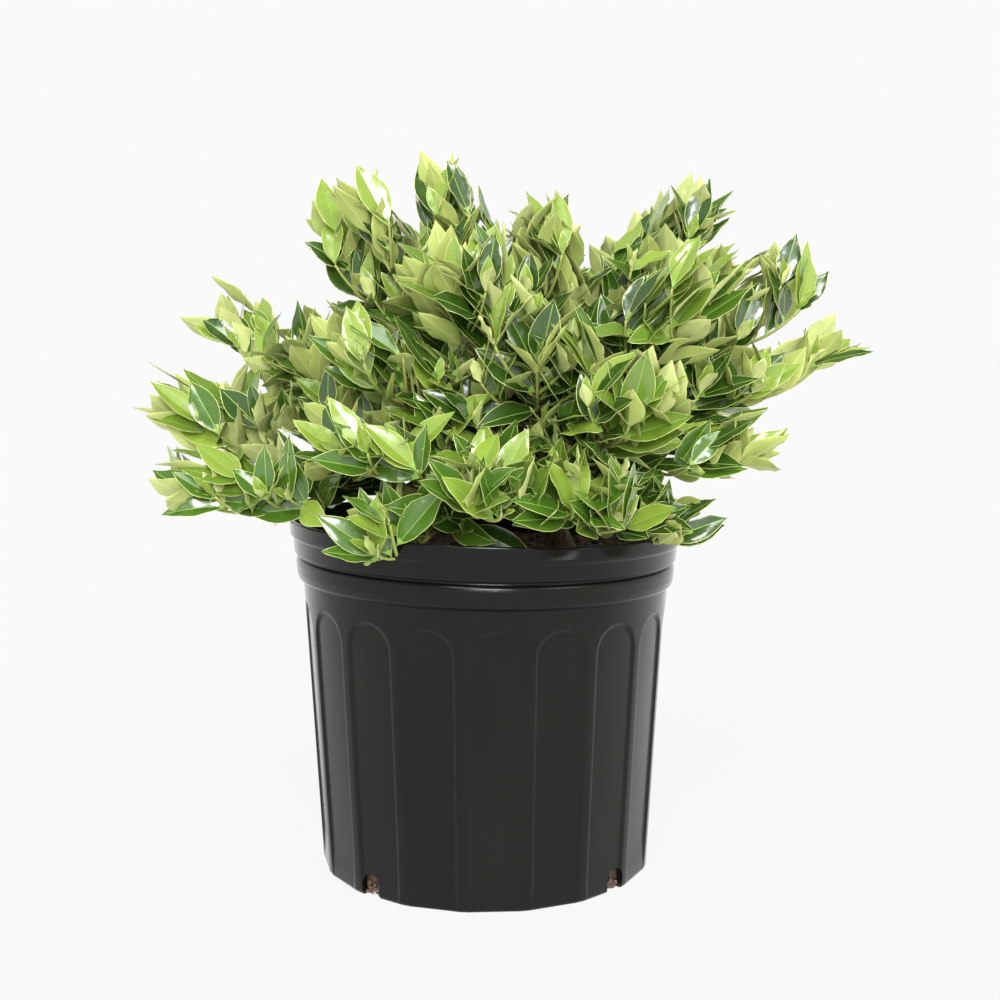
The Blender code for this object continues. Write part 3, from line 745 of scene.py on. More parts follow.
class Blades:
    """Every leaf placed so far, with points over each blade, to keep new ones clear of them."""

    # (share of the length, share of the greatest half width) of those points
    ROWS = ((0.30, 0.80), (0.50, 0.95), (0.70, 0.80), (0.88, 0.35))

    def __init__(self):
        self.count = 0
        self.middles = np.zeros((MOST_LEAVES, 3))
        self.samples = np.zeros((MOST_LEAVES, 3 * len(self.ROWS), 3))

    def points_of(self, leaf):
        rows = []
        for along, out in self.ROWS:
            centre = leaf.root + along * leaf.length * leaf.along
            half = out * leaf.half_width
            side, raised = half * leaf.across, half * leaf.fold * leaf.face
            rows += [centre, centre + side + raised, centre - side + raised]
        return np.array(rows)

    def has_room(self, points):
        middle = points.mean(axis=0)
        middles = self.middles[: self.count]
        near = np.flatnonzero(((middles - middle) ** 2).sum(axis=1) < LEAF_LENGTH**2)
        if not len(near):
            return True
        others = self.samples[near].reshape(-1, 3)
        gaps = ((points[:, None] - others) ** 2).sum(axis=2)
        return bool(gaps.min() > LEAF_SPACING**2)

    def add(self, points):
        self.middles[self.count] = points.mean(axis=0)
        self.samples[self.count] = points
        self.count += 1


class Leaf:
    """A blade's root, directions and form."""

    def __init__(self, root, along, face, size, rng):
        self.root = np.array(root)
        self.along = np.array(along)
        self.face = np.array(face)
        self.across = np.cross(self.along, self.face)
        self.length = LEAF_LENGTH * size * rng.uniform(*LENGTH_SPREAD)
        self.half_width = LEAF_WIDTH * size * rng.uniform(*WIDTH_SPREAD) / 2
        self.fold = math.tan(math.radians(rng.uniform(*LEAF_FOLD)))
        self.arch = math.radians(rng.uniform(*LEAF_ARCH))
        self.twist = math.radians(rng.uniform(-LEAF_TWIST, LEAF_TWIST))
        self.wave = LEAF_WAVE * rng.uniform(*WAVE_SPREAD)
        self.phase = rng.uniform(0, math.tau)
        self.looks = None


def leaf_frame(shoot_heading, azimuth, lift, roll):
    """(along, face) of a leaf that leans out from its shoot by lift, with its top to the tip."""
    side = square_to(shoot_heading, LEAF_TURN_GUIDE)
    out = Matrix.Rotation(azimuth, 3, shoot_heading) @ side
    along = (math.cos(lift) * shoot_heading + math.sin(lift) * out + LIFT_TO_SKY * UP).normalized()
    face = math.sin(lift) * shoot_heading - math.cos(lift) * out
    face = square_to(along, face + FACE_TO_SKY * UP)
    return along, Matrix.Rotation(roll, 3, along) @ face


def leaf_places(shoot, bare, rng):
    """(distance from the tip, azimuth, lift, size), from the tip's rosette to the bare length."""
    places = []
    turn = rng.uniform(0, math.tau)
    for k in range(ROSETTE_LEAVES):
        lift = math.radians(rng.uniform(*ROSETTE_LIFT))
        places.append((ROSETTE_START + ROSETTE_STEP * k, turn, lift, rng.uniform(*ROSETTE_SIZE)))
        turn += math.tau / ROSETTE_LEAVES + rng.uniform(-ROSETTE_JITTER, ROSETTE_JITTER)
    distance = ROSETTE_START + ROSETTE_STEP * ROSETTE_LEAVES + NODE_SPACING
    while distance < shoot.length - bare:
        turn += GOLDEN_ANGLE
        lift = math.radians(rng.uniform(*NODE_LIFT))
        places.append((distance, turn, lift, rng.uniform(*NODE_SIZE)))
        distance += NODE_SPACING * rng.uniform(*NODE_JITTER)
    return places


def leaf_with_room(shoot, place, space, blades, rng):
    """The leaf of this place, turned, raised or made smaller until it has room, or None."""
    distance, azimuth, lift, size = place
    root, along = shoot.at(distance)
    roll = math.radians(rng.uniform(-LEAF_ROLL, LEAF_ROLL))
    for turn, raised, shrink in LEAF_TRIES:
        blade, face = leaf_frame(along, azimuth + turn, lift + raised, roll)
        if blade.z < along.z - LEAF_DROP:
            continue
        leaf = Leaf(root, blade, face, size * shrink, rng)
        points = blades.points_of(leaf)
        tip = leaf.root + leaf.length * leaf.along
        inside = space.holds(np.vstack([points, tip])) and space.clear(points, 0.0)
        if inside and blades.has_room(points):
            blades.add(points)
            return leaf
    return None


def bud(shoot, space, rng):
    """The small new leaves that close a shoot's tip."""
    leaves = []
    root, along = shoot.at(0.0)
    turn = rng.uniform(0, math.tau)
    for k in range(BUD_LEAVES):
        lift = math.radians(rng.uniform(*BUD_LIFT))
        blade, face = leaf_frame(along, turn + k * math.pi, lift, 0.0)
        leaf = Leaf(root, blade, face, rng.uniform(*BUD_SIZE), rng)
        leaf.looks = (FRESH_LOOK, UNDER_LOOKS[0])
        if space.holds(np.array([leaf.root + leaf.length * leaf.along])):
            leaves.append(leaf)
    return leaves


def leaves_on(shoot, space, blades, bare, rng):
    """The shoot's leaves. The shoot ends at the outermost one."""
    leaves = []
    # Painted shade, in part: the leaves of shoots that end near the fork are dealt the darker
    # colours
    in_painted_shade = (shoot.points[-1] - FORK).length < PAINTED_SHADE_REACH
    older = rng.choices(OLDER_LOOKS, PAINTED_SHADE_SHARES if in_painted_shade else OLDER_SHARES)[0]
    fresh_chance = PAINTED_SHADE_FRESH_CHANCE if in_painted_shade else FRESH_CHANCE
    under = rng.choice(UNDER_LOOKS)
    outermost = None
    for place in leaf_places(shoot, bare, rng):
        leaf = leaf_with_room(shoot, place, space, blades, rng)
        if leaf is None:
            continue
        if outermost is None:
            outermost = place[0]
        young = len(leaves) < YOUNG_LEAVES and rng.random() < fresh_chance
        leaf.looks = (FRESH_LOOK if young else older, under)
        leaves.append(leaf)
    if leaves:
        shoot.end_at(outermost)
        leaves += bud(shoot, space, rng)
    return leaves


def main_shoot(name):
    """The mass's stem, on from the bough's tip, turned up short of the furthest leaf."""
    start = entry(name)
    end_heading = (aim(name) + STEM_RISE * UP).normalized()
    short = LAST_LEAF_SHARE * LEAF_LENGTH * end_heading.dot(aim(name))
    end = FORK + SHOOTS[name][2] * aim(name) - short * aim(name)
    end -= STEM_DROP * LEAF_LENGTH * (end_heading - aim(name))
    steps = max(4, round((end - start).length / TWIG_RING_SPACING))
    points = curve(start, aim(name), end, end_heading, steps)
    return Shoot(points, BOUGH_TIP_RADIUS, 1.0 - GREEN_SHARE)


def side_shoot(stem, share, turn_start, full_length, space, rng):
    """The twig at this share of the stem's length, cut short until it has room, or None."""
    base, along = stem.at(stem.length * (1.0 - share))
    length = full_length * rng.uniform(*SIDE_LENGTH_SPREAD)
    azimuth = turn_start + rng.uniform(-SIDE_TURN_JITTER, SIDE_TURN_JITTER)
    lean = SIDE_ANGLE + rng.uniform(-SIDE_ANGLE_JITTER, SIDE_ANGLE_JITTER)
    for scale in SIDE_SHOOT_SHARES:
        for turn in SIDE_SHOOT_TURNS:
            side = square_to(along, LEAF_TURN_GUIDE)
            out = Matrix.Rotation(azimuth + turn, 3, along) @ side
            start_heading = math.cos(lean) * along + math.sin(lean) * out
            end_heading = (start_heading + SIDE_RISE * UP + SIDE_FORWARD * along).normalized()
            end = base + length * scale * (start_heading + end_heading).normalized()
            if start_heading.z < along.z - SIDE_SHOOT_DROP:
                continue
            steps = max(3, round(length * scale / TWIG_RING_SPACING))
            points = curve(base, start_heading, end, end_heading, steps)
            samples = np.array(points[2:])
            if space.holds(samples) and space.clear(samples, TWIG_RADIUS):
                return Shoot(points, SIDE_THICKNESS * TWIG_RADIUS, SIDE_GREEN_FROM)
    return None


def grow(name, bough, limbs, blades, rng):
    """The shoots and leaves of a mass, and those that its bough carries inside the crown."""
    space = Space(name, limbs)
    stem = main_shoot(name)
    limb = Shoot(list(bough), BOUGH_TIP_RADIUS, 1.0)
    starts = []
    for order in range(SIDE_SHOOTS):
        share = FIRST_SIDE_SHOOT + SIDE_SHOOT_SPAN * order / (SIDE_SHOOTS - 1)
        starts.append((stem, share, order * GOLDEN_ANGLE, SIDE_LENGTH * (1.0 - SIDE_TAPER * share)))
    starts += [(limb, share, turn, INNER_LENGTH) for share, turn in INNER_SHOOTS]
    planned = [side_shoot(*start, space, rng) for start in starts]
    shoots, leaves = [stem], leaves_on(stem, space, blades, STEM_BARE, rng)
    for shoot in planned:
        if shoot is None:
            continue
        grown = leaves_on(shoot, space, blades, SIDE_BARE, rng)
        if len(grown) >= FEWEST_LEAVES:
            shoots.append(shoot)
            leaves += grown
    return shoots, leaves


def blade_columns():
    """Places across the top of a blade and across its underside, as shares of the half width."""
    top = [-1.0, "-margin", -0.5, "-rib", 0.0, "rib", 0.5, "margin", 1.0]
    under = ["-margin", -0.5, "-rib", "rib", 0.5, "margin"]
    return top, under


def leaf_surface(leaf):
    """Points of one blade: its base, rows of top and underside points, and its tip."""
    top_columns, under_columns = blade_columns()
    points = []
    for share, width in LEAF_OUTLINE:
        half = max(leaf.half_width * width, LEAST_HALF_WIDTH)
        named = {
            "margin": max(1.0 - LEAF_MARGIN / half, LEAST_MARGIN_PLACE),
            "rib": min(RIB_WIDTH / half, MOST_RIB_SHARE),
        }
        named["-margin"], named["-rib"] = -named["margin"], -named["rib"]
        bend = leaf.arch * share
        if abs(leaf.arch) > LEAST_ARCH:
            forward = leaf.length * math.sin(bend) / leaf.arch
            down = leaf.length * (1.0 - math.cos(bend)) / leaf.arch
        else:
            forward, down = leaf.length * share, 0.0
        centre = leaf.root + forward * leaf.along - down * leaf.face
        normal = math.cos(bend) * leaf.face + math.sin(bend) * leaf.along
        if share in (0.0, 1.0):
            points.append(centre)
            continue
        twist = leaf.twist * share
        across = math.cos(twist) * leaf.across + math.sin(twist) * normal
        normal = math.cos(twist) * normal - math.sin(twist) * leaf.across
        ripple = leaf.wave * math.sin(LEAF_WAVES * math.tau * share + leaf.phase)

        def place(column, sunk):
            u = named.get(column, column)
            x = u * half
            rise = leaf.fold * (math.sqrt(x * x + FOLD_ROUNDING) - FOLD_LIFT)
            rise -= LEAF_RECURL * half * abs(u) ** 3
            rise += ripple * u * abs(u) - sunk
            return centre + x * across + rise * normal

        points += [place(column, 0.0) for column in top_columns]
        points += [place(column, LEAF_THICKNESS) for column in under_columns]
    return points


def leaf_faces():
    """(corners, kind) for every face: the kinds are top, under, margin, rib and rib_under."""
    top_columns, under_columns = blade_columns()
    wide, low_wide = len(top_columns), len(under_columns)
    row_size = wide + low_wide
    rows = len(LEAF_OUTLINE) - 2
    top_kinds = ["margin", "top", "top", "rib", "rib", "top", "top", "margin"]
    under_kinds = ["margin", "under", "under", "rib_under", "under", "under", "margin"]
    tip = 1 + rows * row_size

    def top_row(row):
        start = 1 + row * row_size
        return list(range(start, start + wide))

    def under_row(row):
        start = 1 + row * row_size
        inner = list(range(start + wide, start + row_size))
        return [start, *inner, start + wide - 1]

    faces = []
    for row in range(rows - 1):
        petiole = LEAF_OUTLINE[row + 1][0] <= PETIOLE_SHARE
        low, high = top_row(row), top_row(row + 1)
        for k, kind in enumerate(top_kinds):
            corners = (low[k], high[k], high[k + 1], low[k + 1])
            faces.append((corners, "rib" if petiole else kind))
        low, high = under_row(row), under_row(row + 1)
        for k, kind in enumerate(under_kinds):
            faces.append(((low[k], low[k + 1], high[k + 1], high[k]), kind))
    first, last = top_row(0), top_row(rows - 1)
    for k in range(wide - 1):
        faces.append(((0, first[k], first[k + 1]), "rib"))
        faces.append(((last[k], tip, last[k + 1]), "margin" if k in (0, wide - 2) else "top"))
    first, last = under_row(0), under_row(rows - 1)
    for k in range(len(first) - 1):
        faces.append(((0, first[k + 1], first[k]), "rib_under"))
        faces.append(((last[k + 1], tip, last[k]), "under"))
    return faces


def leaf_mesh(name, leaves, looks):
    pattern = leaf_faces()
    points, faces, face_looks = [], [], []
    for leaf in leaves:
        start = len(points)
        points += leaf_surface(leaf)
        top, under = leaf.looks
        number = {"top": top, "under": under, **FIXED_LOOKS}
        for corners, kind in pattern:
            faces.append([start + c for c in corners])
            face_looks.append(number[kind])
    return mesh_object(name, points, faces, looks, face_looks, crease=LEAF_CREASE)


def tube_rings(points, radii, sides):
    """Rings of points round a path, as one list."""
    headings = [(points[1] - points[0]).normalized()]
    headings += [(b - a).normalized() for a, b in zip(points, points[2:])]
    headings.append((points[-1] - points[-2]).normalized())
    side = headings[0].orthogonal().normalized()
    rings = []
    for point, radius, along in zip(points, radii, headings):
        side = square_to(along, side)
        other = along.cross(side)
        for n in range(sides):
            turn = n * math.tau / sides
            rings.append(point + radius * (math.cos(turn) * side + math.sin(turn) * other))
    return rings


def twig_mesh(name, shoots, looks):
    points, faces, face_looks = [], [], []
    for shoot in shoots:
        rings = len(shoot.points)
        faces += capped_rings(rings, TWIG_SIDES, len(points))
        points += tube_rings(shoot.points, shoot.radii, TWIG_SIDES)
        brown = int(shoot.green_from * (rings - 1)) * TWIG_SIDES
        green = (rings - 1) * TWIG_SIDES - brown
        face_looks += [0] * brown + [1] * green + [0, 1]
    return mesh_object(name, points, faces, looks, face_looks)


def make_foliage(paths):
    limbs = limb_segments(paths)
    blades = Blades()
    looks, wood = leaf_looks(), twig_looks()
    for order, name in enumerate(SHOOTS):
        shoots, leaves = grow(name, paths[name][0], limbs, blades, random.Random(SEED + order))
        dress(leaf_mesh(f"leaves_{name}", leaves, looks), "foliage", f"foliage_{name}")
        dress(twig_mesh(f"twigs_{name}", shoots, wood), "bark", f"foliage_{name}")


# Pot and soil


def leaned(x, y, z):
    """The soft rim leans a little to the right, and the foot stays level."""
    return Vector((x, y, z - RIM_LEAN * x * (z / POT_HEIGHT) ** 2))


def around(angle, radius, z):
    return leaned(radius * math.sin(angle), -radius * math.cos(angle), z)


def soft_wall(angle, radius, z):
    """A point of the wall, a little out of true as thin plastic is, with dents in the rim."""
    wave = RIM_WAVE * (z / POT_HEIGHT) ** 2 * math.sin(RIM_WAVES * angle + RIM_WAVE_TURN)
    dent = 0.0
    share = (z - DENT_FOOT) / (POT_HEIGHT - DENT_FOOT)
    if share > 0.0:
        for bearing, width, depth in DENTS:
            aside = (math.degrees(angle) - bearing + 180.0) % 360.0 - 180.0
            dent += depth * math.exp(-((aside / width) ** 2)) * share
    return around(angle, radius + wave - dent, z - DENT_DROP * dent)


def skirt_radius(z):
    share = z / SKIRT_TOP
    return FOOT_RADIUS + share * (SKIRT_TOP_RADIUS - FOOT_RADIUS)


def flute_angles():
    """Angles from a flute's centre line over it and the rib beside it, closest at its edges."""
    span = math.tau / FLUTES
    edge = FLUTE_EDGE_SPAN * FLUTE_EDGE / SKIRT_TOP_RADIUS
    inner = FLUTE_HALF_ANGLE - edge
    steps = [edge * k / FLUTE_EDGE_COLUMNS for k in range(FLUTE_EDGE_COLUMNS)]
    angles = [-FLUTE_HALF_ANGLE + step for step in steps]
    angles += [-inner + 2 * inner * k / FLUTE_COLUMNS for k in range(FLUTE_COLUMNS)]
    angles += [inner + step for step in steps]
    rib = span - 2 * FLUTE_HALF_ANGLE
    angles += [FLUTE_HALF_ANGLE + rib * k / RIB_COLUMNS for k in range(RIB_COLUMNS)]
    return angles


def flute_recess(aside, z):
    """How far the wall lies inside its round, at an angle from a flute's centre line."""
    radius = skirt_radius(z)
    half = FLUTE_HALF_ANGLE * radius
    over = max(z - ARCH_SPRING, 0.0) * half / ARCH_RISE
    inside = half - math.hypot(aside * radius, over)
    chord = radius * (1.0 - math.cos(FLUTE_HALF_ANGLE) / math.cos(aside))
    flat = 1.0 - (1.0 - FLATTEST_SHARE) * min(z / ARCH_SPRING, 1.0)
    depth = FLUTE_DEPTH * smooth_step(z / FLUTE_FOOT)
    return smooth_step(inside / FLUTE_EDGE) * (depth + flat * max(chord, 0.0))


def skirt_heights():
    """(height, rounding) for every row of the skirt."""
    rows = list(FOOT_ROUNDING)
    foot = FOOT_ROUNDING[-1][0]
    rows += [(foot + (ARCH_SPRING - foot) * k / SKIRT_ROWS, 0.0) for k in range(1, SKIRT_ROWS + 1)]
    z = ARCH_SPRING + ARCH_ROW
    while z < ARCH_SPRING + ARCH_RISE + 2 * ARCH_ROW:
        rows.append((z, 0.0))
        z += ARCH_ROW
    rows += [(z + (SKIRT_TOP - z) * k / (TOP_ROWS - 1), 0.0) for k in range(TOP_ROWS)]
    return rows


def skirt_points():
    """The skirt's rows of points, the underside's first, and the number of columns."""
    columns = []
    for flute in range(FLUTES):
        centre = FLUTE_TURN + flute * math.tau / FLUTES
        columns += [(centre + aside, aside) for aside in flute_angles()]
    points = []
    for inset, z in UNDERSIDE:
        points += [around(angle, FOOT_RADIUS - inset, z) for angle, _ in columns]
    for z, rounding in skirt_heights():
        for angle, aside in columns:
            in_flute = (aside + math.pi / FLUTES) % (math.tau / FLUTES) - math.pi / FLUTES
            radius = skirt_radius(z) - rounding - flute_recess(in_flute, z)
            points.append(soft_wall(angle, radius, z))
    return points, len(columns)


def rounded(profile, reach):
    """The profile with a short curve in place of each corner."""
    points = [profile[0]]
    for a, b, c in zip(profile, profile[1:], profile[2:]):
        a, b, c = (np.array(p) for p in (a, b, c))
        before, after = np.linalg.norm(a - b), np.linalg.norm(c - b)
        start = b + (a - b) / before * min(reach, CORNER_SHARE * before)
        end = b + (c - b) / after * min(reach, CORNER_SHARE * after)
        for t in CORNER_STEPS:
            points.append((1 - t) ** 2 * start + 2 * t * (1 - t) * b + t * t * end)
    points.append(profile[-1])
    return points


def collar_profile():
    """(radius, height) from the skirt's top, over the rim and down to the inner floor."""
    return [
        (SKIRT_TOP_RADIUS + 0.0004, SKIRT_TOP + 0.0003),
        (0.1336, 0.2063),
        (0.1347, 0.2110),
        (0.1350, 0.2165),
        (0.1346, 0.2190),
        (0.1339, 0.2200),
        (0.1325, 0.2209),
        (0.1325, 0.2226),
        (0.1361, 0.2234),
        (0.1370, COLLAR_STEP),
        (0.1386, 0.2353),
        (0.1389, 0.2372),
        (RIM_RADIUS - 0.0002, 0.2440),
        (RIM_RADIUS, 0.2452),
        (RIM_RADIUS - 0.0005, POT_HEIGHT),
        (RIM_RADIUS - RIM_WIDTH, POT_HEIGHT),
        (INNER_COLLAR_RADIUS, COLLAR_STEP),
        (INNER_SKIRT_RADIUS, SKIRT_TOP),
        (INNER_FOOT_RADIUS, FLOOR_THICKNESS),
    ]


def stitched(low, high, low_start, high_start):
    """Triangles between two closed rings with different numbers of points."""
    faces = []
    i = j = 0
    while i < low or j < high:
        a, b = low_start + i % low, high_start + j % high
        if j == high or (i < low and (i + 1) / low <= (j + 1) / high):
            faces.append((a, low_start + (i + 1) % low, b))
            i += 1
        else:
            faces.append((a, high_start + (j + 1) % high, b))
            j += 1
    return faces


def pot_shell(look):
    points, columns = skirt_points()
    rows = len(points) // columns
    faces = wrapped_quads(rows, columns)
    faces.append(tuple(range(columns - 1, -1, -1)))
    collar_start = len(points)
    profile = rounded(collar_profile(), CORNER_ROUNDING)
    first = FLUTE_TURN - FLUTE_HALF_ANGLE
    for radius, z in profile:
        for k in range(COLLAR_COLUMNS):
            points.append(soft_wall(first + k * math.tau / COLLAR_COLUMNS, radius, z))
    faces += stitched(columns, COLLAR_COLUMNS, collar_start - columns, collar_start)
    faces += wrapped_quads(len(profile), COLLAR_COLUMNS, collar_start)
    faces.append(tuple(range(len(points) - COLLAR_COLUMNS, len(points))))
    return mesh_object("pot_shell", points, faces, [look])


def drain_cutter(index):
    """A round-topped slot through the wall at the foot."""
    angle = DRAIN_TURN + index * math.tau / DRAIN_HOLES
    half = DRAIN_WIDTH / 2
    outline = [(-half, DRAIN_FOOT), (half, DRAIN_FOOT)]
    for k in range(DRAIN_ARCH_STEPS + 1):
        turn = k * math.pi / DRAIN_ARCH_STEPS
        outline.append((half * math.cos(turn), DRAIN_TOP - half + half * math.sin(turn)))
    spin = Matrix.Rotation(angle, 3, "Z")
    points = []
    for radius in (INNER_FOOT_RADIUS - DRAIN_CUT_PAST, FOOT_RADIUS + DRAIN_CUT_PAST):
        points += [spin @ Vector((x, -radius, z)) for x, z in outline]
    faces = capped_rings(2, len(outline))
    cutter = mesh_object(f"drain_cutter_{index}", points, faces, [], smooth=False)
    shape = bmesh.new()
    shape.from_mesh(cutter.data)
    bmesh.ops.recalc_face_normals(shape, faces=shape.faces)
    shape.to_mesh(cutter.data)
    shape.free()
    return cutter


def make_pot():
    pot = pot_shell(plastic_look())
    cutters = [drain_cutter(index) for index in range(DRAIN_HOLES)]
    for cutter in cutters:
        cut = pot.modifiers.new(cutter.name, "BOOLEAN")
        cut.operation = "DIFFERENCE"
        cut.solver = "EXACT"
        cut.object = cutter
    evaluated = pot.evaluated_get(bpy.context.evaluated_depsgraph_get())
    whole = bpy.data.meshes.new_from_object(evaluated)
    pot.modifiers.clear()
    pot.data = whole
    whole.set_sharp_from_angle(angle=math.radians(POT_CREASE))
    for cutter in cutters:
        bpy.data.objects.remove(cutter)
    dress(pot, "pot_plastic", "pot")


def soil_top_radius(angle):
    """Where the level soil meets the leaning inner wall."""
    x = INNER_SKIRT_RADIUS * math.sin(angle)
    wall_height = SOIL_TOP + RIM_LEAN * x * (SOIL_TOP / POT_HEIGHT) ** 2
    share = (wall_height - SKIRT_TOP) / (COLLAR_STEP - SKIRT_TOP)
    return INNER_SKIRT_RADIUS + share * (INNER_COLLAR_RADIUS - INNER_SKIRT_RADIUS) - 3 * GAP


def soil_height(x, y):
    """The lumpy surface of the mix, banked a little round the trunk."""
    lumps = 0.0
    for scale, place, share in SOIL_NOISE:
        lumps += share * noise.noise(Vector((scale * x, scale * y, place)))
    bank = math.exp(-math.hypot(x - TRUNK_FOOT.x, y - TRUNK_FOOT.y) / SOIL_BANK)
    return SOIL_TOP + SOIL_LUMPS * (lumps - SOIL_SINK + bank)


def make_soil():
    """Fills the pot, so that it shows in the drain holes, up to its lumpy top."""
    points = []
    angles = [k * math.tau / SOIL_COLUMNS for k in range(SOIL_COLUMNS)]
    foot_z = FLOOR_THICKNESS + GAP
    walls = (
        (INNER_FOOT_RADIUS - GAP, foot_z),
        (INNER_FOOT_RADIUS, SOIL_FOOT_TOP),
        (INNER_SKIRT_RADIUS - GAP, SKIRT_TOP),
    )
    round_scale, up_scale = SOIL_WALL_GRAIN
    for radius, z in walls:
        for angle in angles:
            grain = noise.noise(Vector((round_scale * angle, up_scale * z, 0.0))) - 1.0
            points.append(around(angle, radius + SOIL_WALL_RELIEF * grain, z))
    for ring in range(SOIL_RINGS):
        share = 1.0 - ring / SOIL_RINGS
        for angle in angles:
            radius = share * soil_top_radius(angle)
            x, y = radius * math.sin(angle), -radius * math.cos(angle)
            points.append(Vector((x, y, soil_height(x, y))))
    faces = capped_rings(len(points) // SOIL_COLUMNS, SOIL_COLUMNS)
    dress(mesh_object("soil_surface", points, faces, [soil_look()]), "potting_mix", "soil")


def chip_places(rng):
    """(centre on the mix, length, flatness) of every bit of bark strewn over it."""
    places = []
    for _ in range(CHIPS):
        angle = rng.uniform(0, math.tau)
        radius = (soil_top_radius(angle) - CHIP_WALL_MARGIN) * math.sqrt(rng.random())
        x, y = radius * math.sin(angle), -radius * math.cos(angle)
        if math.hypot(x - TRUNK_FOOT.x, y - TRUNK_FOOT.y) > CHIP_TRUNK_MARGIN:
            centre = Vector((x, y, soil_height(x, y)))
            places.append((centre, rng.uniform(*CHIP_LENGTH), CHIP_FLATNESS))
    return places


def crumb_places(rng):
    """(centre, length, flatness) of the crumbs in the drain holes, behind the wall's face."""
    places = []
    for hole in range(DRAIN_HOLES):
        for _ in range(DRAIN_CRUMBS):
            aside = rng.uniform(-CRUMB_SPREAD, CRUMB_SPREAD) * DRAIN_WIDTH / FOOT_RADIUS
            angle = DRAIN_TURN + hole * math.tau / DRAIN_HOLES + aside
            radius = FOOT_RADIUS - rng.uniform(*CRUMB_DEPTH)
            centre = around(angle, radius, rng.triangular(*CRUMB_HEIGHT))
            places.append((centre, rng.uniform(*CRUMB_LENGTH), CRUMB_FLATNESS))
    return places


def make_chips():
    """Bits of composted bark, each a rough box."""
    rng = random.Random(SEED)
    looks = chip_looks()
    points, faces, face_looks = [], [], []
    box = ((0, 3, 2, 1), (4, 5, 6, 7), (0, 1, 5, 4), (1, 2, 6, 5), (2, 3, 7, 6), (3, 0, 4, 7))
    signs = [(i, j, k) for k in (-1, 1) for i, j in ((-1, -1), (1, -1), (1, 1), (-1, 1))]
    for centre, length, flatness in chip_places(rng) + crumb_places(rng):
        width, height = length * rng.uniform(*CHIP_WIDTH), length * rng.uniform(*flatness)
        turn = Matrix.Rotation(rng.uniform(0, math.tau), 3, "Z")
        for tilt, axis in zip(CHIP_TILT, "XY"):
            turn = turn @ Matrix.Rotation(rng.uniform(-tilt, tilt), 3, axis)
        start = len(points)
        for i, j, k in signs:
            corner = Vector((i * length, j * width, k * height)) / 2 * rng.uniform(*CHIP_CORNERS)
            points.append(centre + CHIP_LIFT * height * UP + turn @ corner)
        look = rng.randrange(len(looks))
        for corners in box:
            faces.append([start + c for c in corners])
            face_looks.append(look)
    chips = mesh_object("bark_chips", points, faces, looks, face_looks, smooth=False)
    dress(chips, "potting_mix", "soil")


# Trunk and boughs


def bark_relief(point, grain):
    """Ridges that run along the limb, coarse ones and half as much of finer ones."""
    along, across = grain
    place = Vector((point.x * across, point.y * across, point.z * along))
    return noise.noise(place) + 0.5 * noise.noise(2.1 * place)


def make_trunk(look):
    """The stem, from a little under the mix to the knob at the fork."""
    shares, radii = zip(*TRUNK_RINGS)
    stations = []
    for k in range(TRUNK_ROWS):
        share = (k - TRUNK_SUNK_ROWS) / (TRUNK_ROWS - 1 - TRUNK_SUNK_ROWS) * TRUNK_TOP_SHARE
        stations.append((TRUNK_FOOT.lerp(FORK, share), float(np.interp(share, shares, radii))))
    for latitude in KNOB_LATITUDES:
        angle = math.radians(latitude)
        stations.append((FORK + KNOB_RADIUS * math.sin(angle) * UP, KNOB_RADIUS * math.cos(angle)))
    points = []
    for centre, radius in stations:
        for n in range(TRUNK_SIDES):
            turn = n * math.tau / TRUNK_SIDES
            direction = Vector((math.cos(turn), math.sin(turn), 0.0))
            place = centre + radius * direction
            points.append(place + TRUNK_RELIEF * bark_relief(place, TRUNK_GRAIN) * direction)
    faces = capped_rings(len(stations), TRUNK_SIDES)
    dress(mesh_object("trunk", points, faces, [look], crease=BARK_CREASE), "bark", "main_stem")


def make_boughs(paths, look):
    points, faces = [], []
    for name, (path, radii, start_heading) in paths.items():
        fine = curve(path[0], start_heading, path[-1], aim(name), BOUGH_STEPS)
        sizes = tapered(radii[0], radii[-1], len(fine))
        faces += capped_rings(len(fine), BOUGH_SIDES, len(points))
        for k, place in enumerate(tube_rings(fine, sizes, BOUGH_SIDES)):
            outward = (place - fine[k // BOUGH_SIDES]).normalized()
            points.append(place + BOUGH_RELIEF * bark_relief(place, BOUGH_GRAIN) * outward)
    nodes = [f"bough_{name}" for name in paths]
    dress(mesh_object("boughs", points, faces, [look], crease=BARK_CREASE), "bark", *nodes)


# Stage


def make_camera():
    data = bpy.data.cameras.new("camera")
    data.lens = CAMERA_LENS
    data.sensor_width = SENSOR_WIDTH
    data.clip_end = 100.0
    camera = bpy.data.objects.new("camera", data)
    camera.location = CAMERA_PLACE
    camera.rotation_euler = (math.radians(90.0) + CAMERA_PITCH, 0.0, 0.0)
    bpy.context.scene.collection.objects.link(camera)
    bpy.context.scene.camera = camera


def floor_light():
    """The light that the floor sends back where nothing shades it."""
    room = WORLD_HORIZON + 2 / 3 * (WORLD_ZENITH - WORLD_HORIZON)
    room *= (WORLD_FRONT + WORLD_BACK) / 2
    suns = sum(strength * math.sin(math.radians(rise)) for _, _, rise, strength, _ in SUNS)
    return FLOOR_ALBEDO * (room + suns / math.pi)


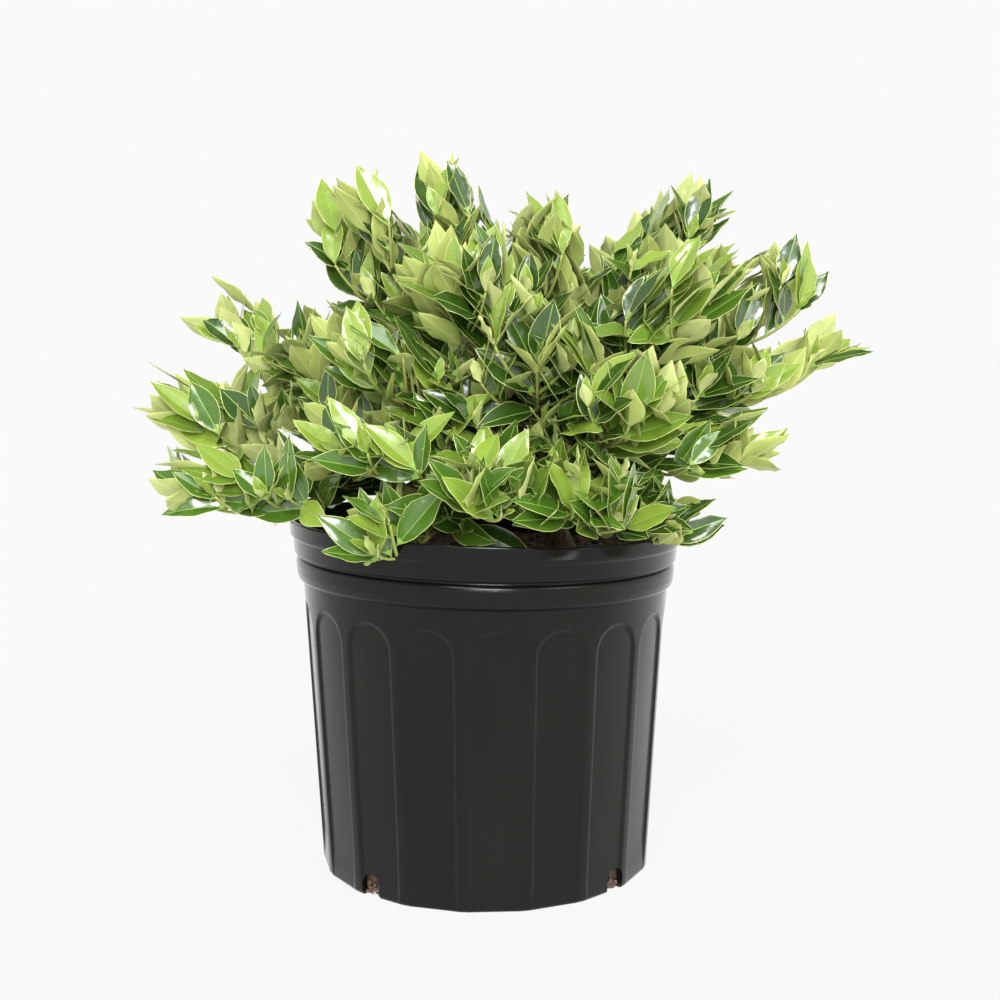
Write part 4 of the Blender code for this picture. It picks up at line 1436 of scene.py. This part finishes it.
def make_floor():
    """A pale floor, lit from inside like an over-lit studio sweep, so that shadows stay faint."""
    look, tree, shader = principled("floor", (FLOOR_ALBEDO,) * 3, 1.0, Specular_IOR_Level=0.0)
    place = add_node(tree, "TexCoord").outputs["Object"]
    sides = {0: place, 1: heading(BOUNCE_BEARING, 0.0)}
    aside = add_node(tree, "VectorMath", sides, operation="DOT_PRODUCT").outputs["Value"]
    (start, end), (least, most) = BOUNCE_FROM, BOUNCE
    spread = {"Value": aside, "From Min": start, "From Max": end, "To Min": least, "To Max": most}
    bounce = add_node(tree, "MapRange", spread, interpolation_type="SMOOTHSTEP").outputs["Result"]
    by_camera = add_node(tree, "LightPath").outputs["Is Camera Ray"]
    seen = add_node(tree, "Mix", {"Factor": by_camera, "A": bounce, "B": 1.0}).outputs["Result"]
    strength = product(tree, seen, BACKDROP_LIGHT - floor_light())
    feed(tree, shader, {"Emission Color": WHITE, "Emission Strength": strength})
    half = FLOOR_SIDE / 2
    corners = [(-half, -half, 0), (half, -half, 0), (half, half, 0), (-half, half, 0)]
    mesh_object("floor", corners, [(0, 1, 2, 3)], [look], smooth=False)


def make_sun(name, bearing, rise, strength, angle):
    data = bpy.data.lights.new(name, "SUN")
    data.energy = strength
    data.angle = math.radians(angle)
    light = bpy.data.objects.new(name, data)
    light.rotation_euler = heading(bearing, rise).to_track_quat("Z", "Y").to_euler()
    bpy.context.scene.collection.objects.link(light)


def make_world():
    """A pale studio: bright at the sides and behind, dimmer towards the camera and overhead."""
    world = bpy.data.worlds.new("studio")
    world.use_nodes = True
    tree = world.node_tree
    place = add_node(tree, "TexCoord").outputs["Generated"]
    parts = add_node(tree, "SeparateXYZ", {"Vector": place}).outputs
    rise = {"Value": parts["Z"], "To Min": WORLD_HORIZON, "To Max": WORLD_ZENITH}
    depth = {"Value": parts["Y"], "From Min": -1.0, "To Min": WORLD_FRONT, "To Max": WORLD_BACK}
    shares = [add_node(tree, "MapRange", values).outputs["Result"] for values in (rise, depth)]
    room = tree.nodes["Background"]
    feed(tree, room, {"Color": WHITE, "Strength": product(tree, *shares)})
    backdrop = add_node(tree, "Background", {"Color": WHITE, "Strength": BACKDROP_LIGHT})
    by_camera = add_node(tree, "LightPath").outputs["Is Camera Ray"]
    both = {1: room.outputs["Background"], 2: backdrop.outputs["Background"]}
    mix = add_node(tree, "MixShader", {"Fac": by_camera, **both}).outputs["Shader"]
    feed(tree, tree.nodes["World Output"], {"Surface": mix})
    bpy.context.scene.world = world
    bpy.context.scene.view_settings.view_transform = "Standard"


def make_stage():
    make_camera()
    make_floor()
    make_world()
    for sun in SUNS:
        make_sun(*sun)


make_stage()
paths = bough_paths()
bark = bark_look()
make_trunk(bark)
make_boughs(paths, bark)
make_foliage(paths)
make_pot()
make_soil()
make_chips()

bpy.context.view_layer.update()
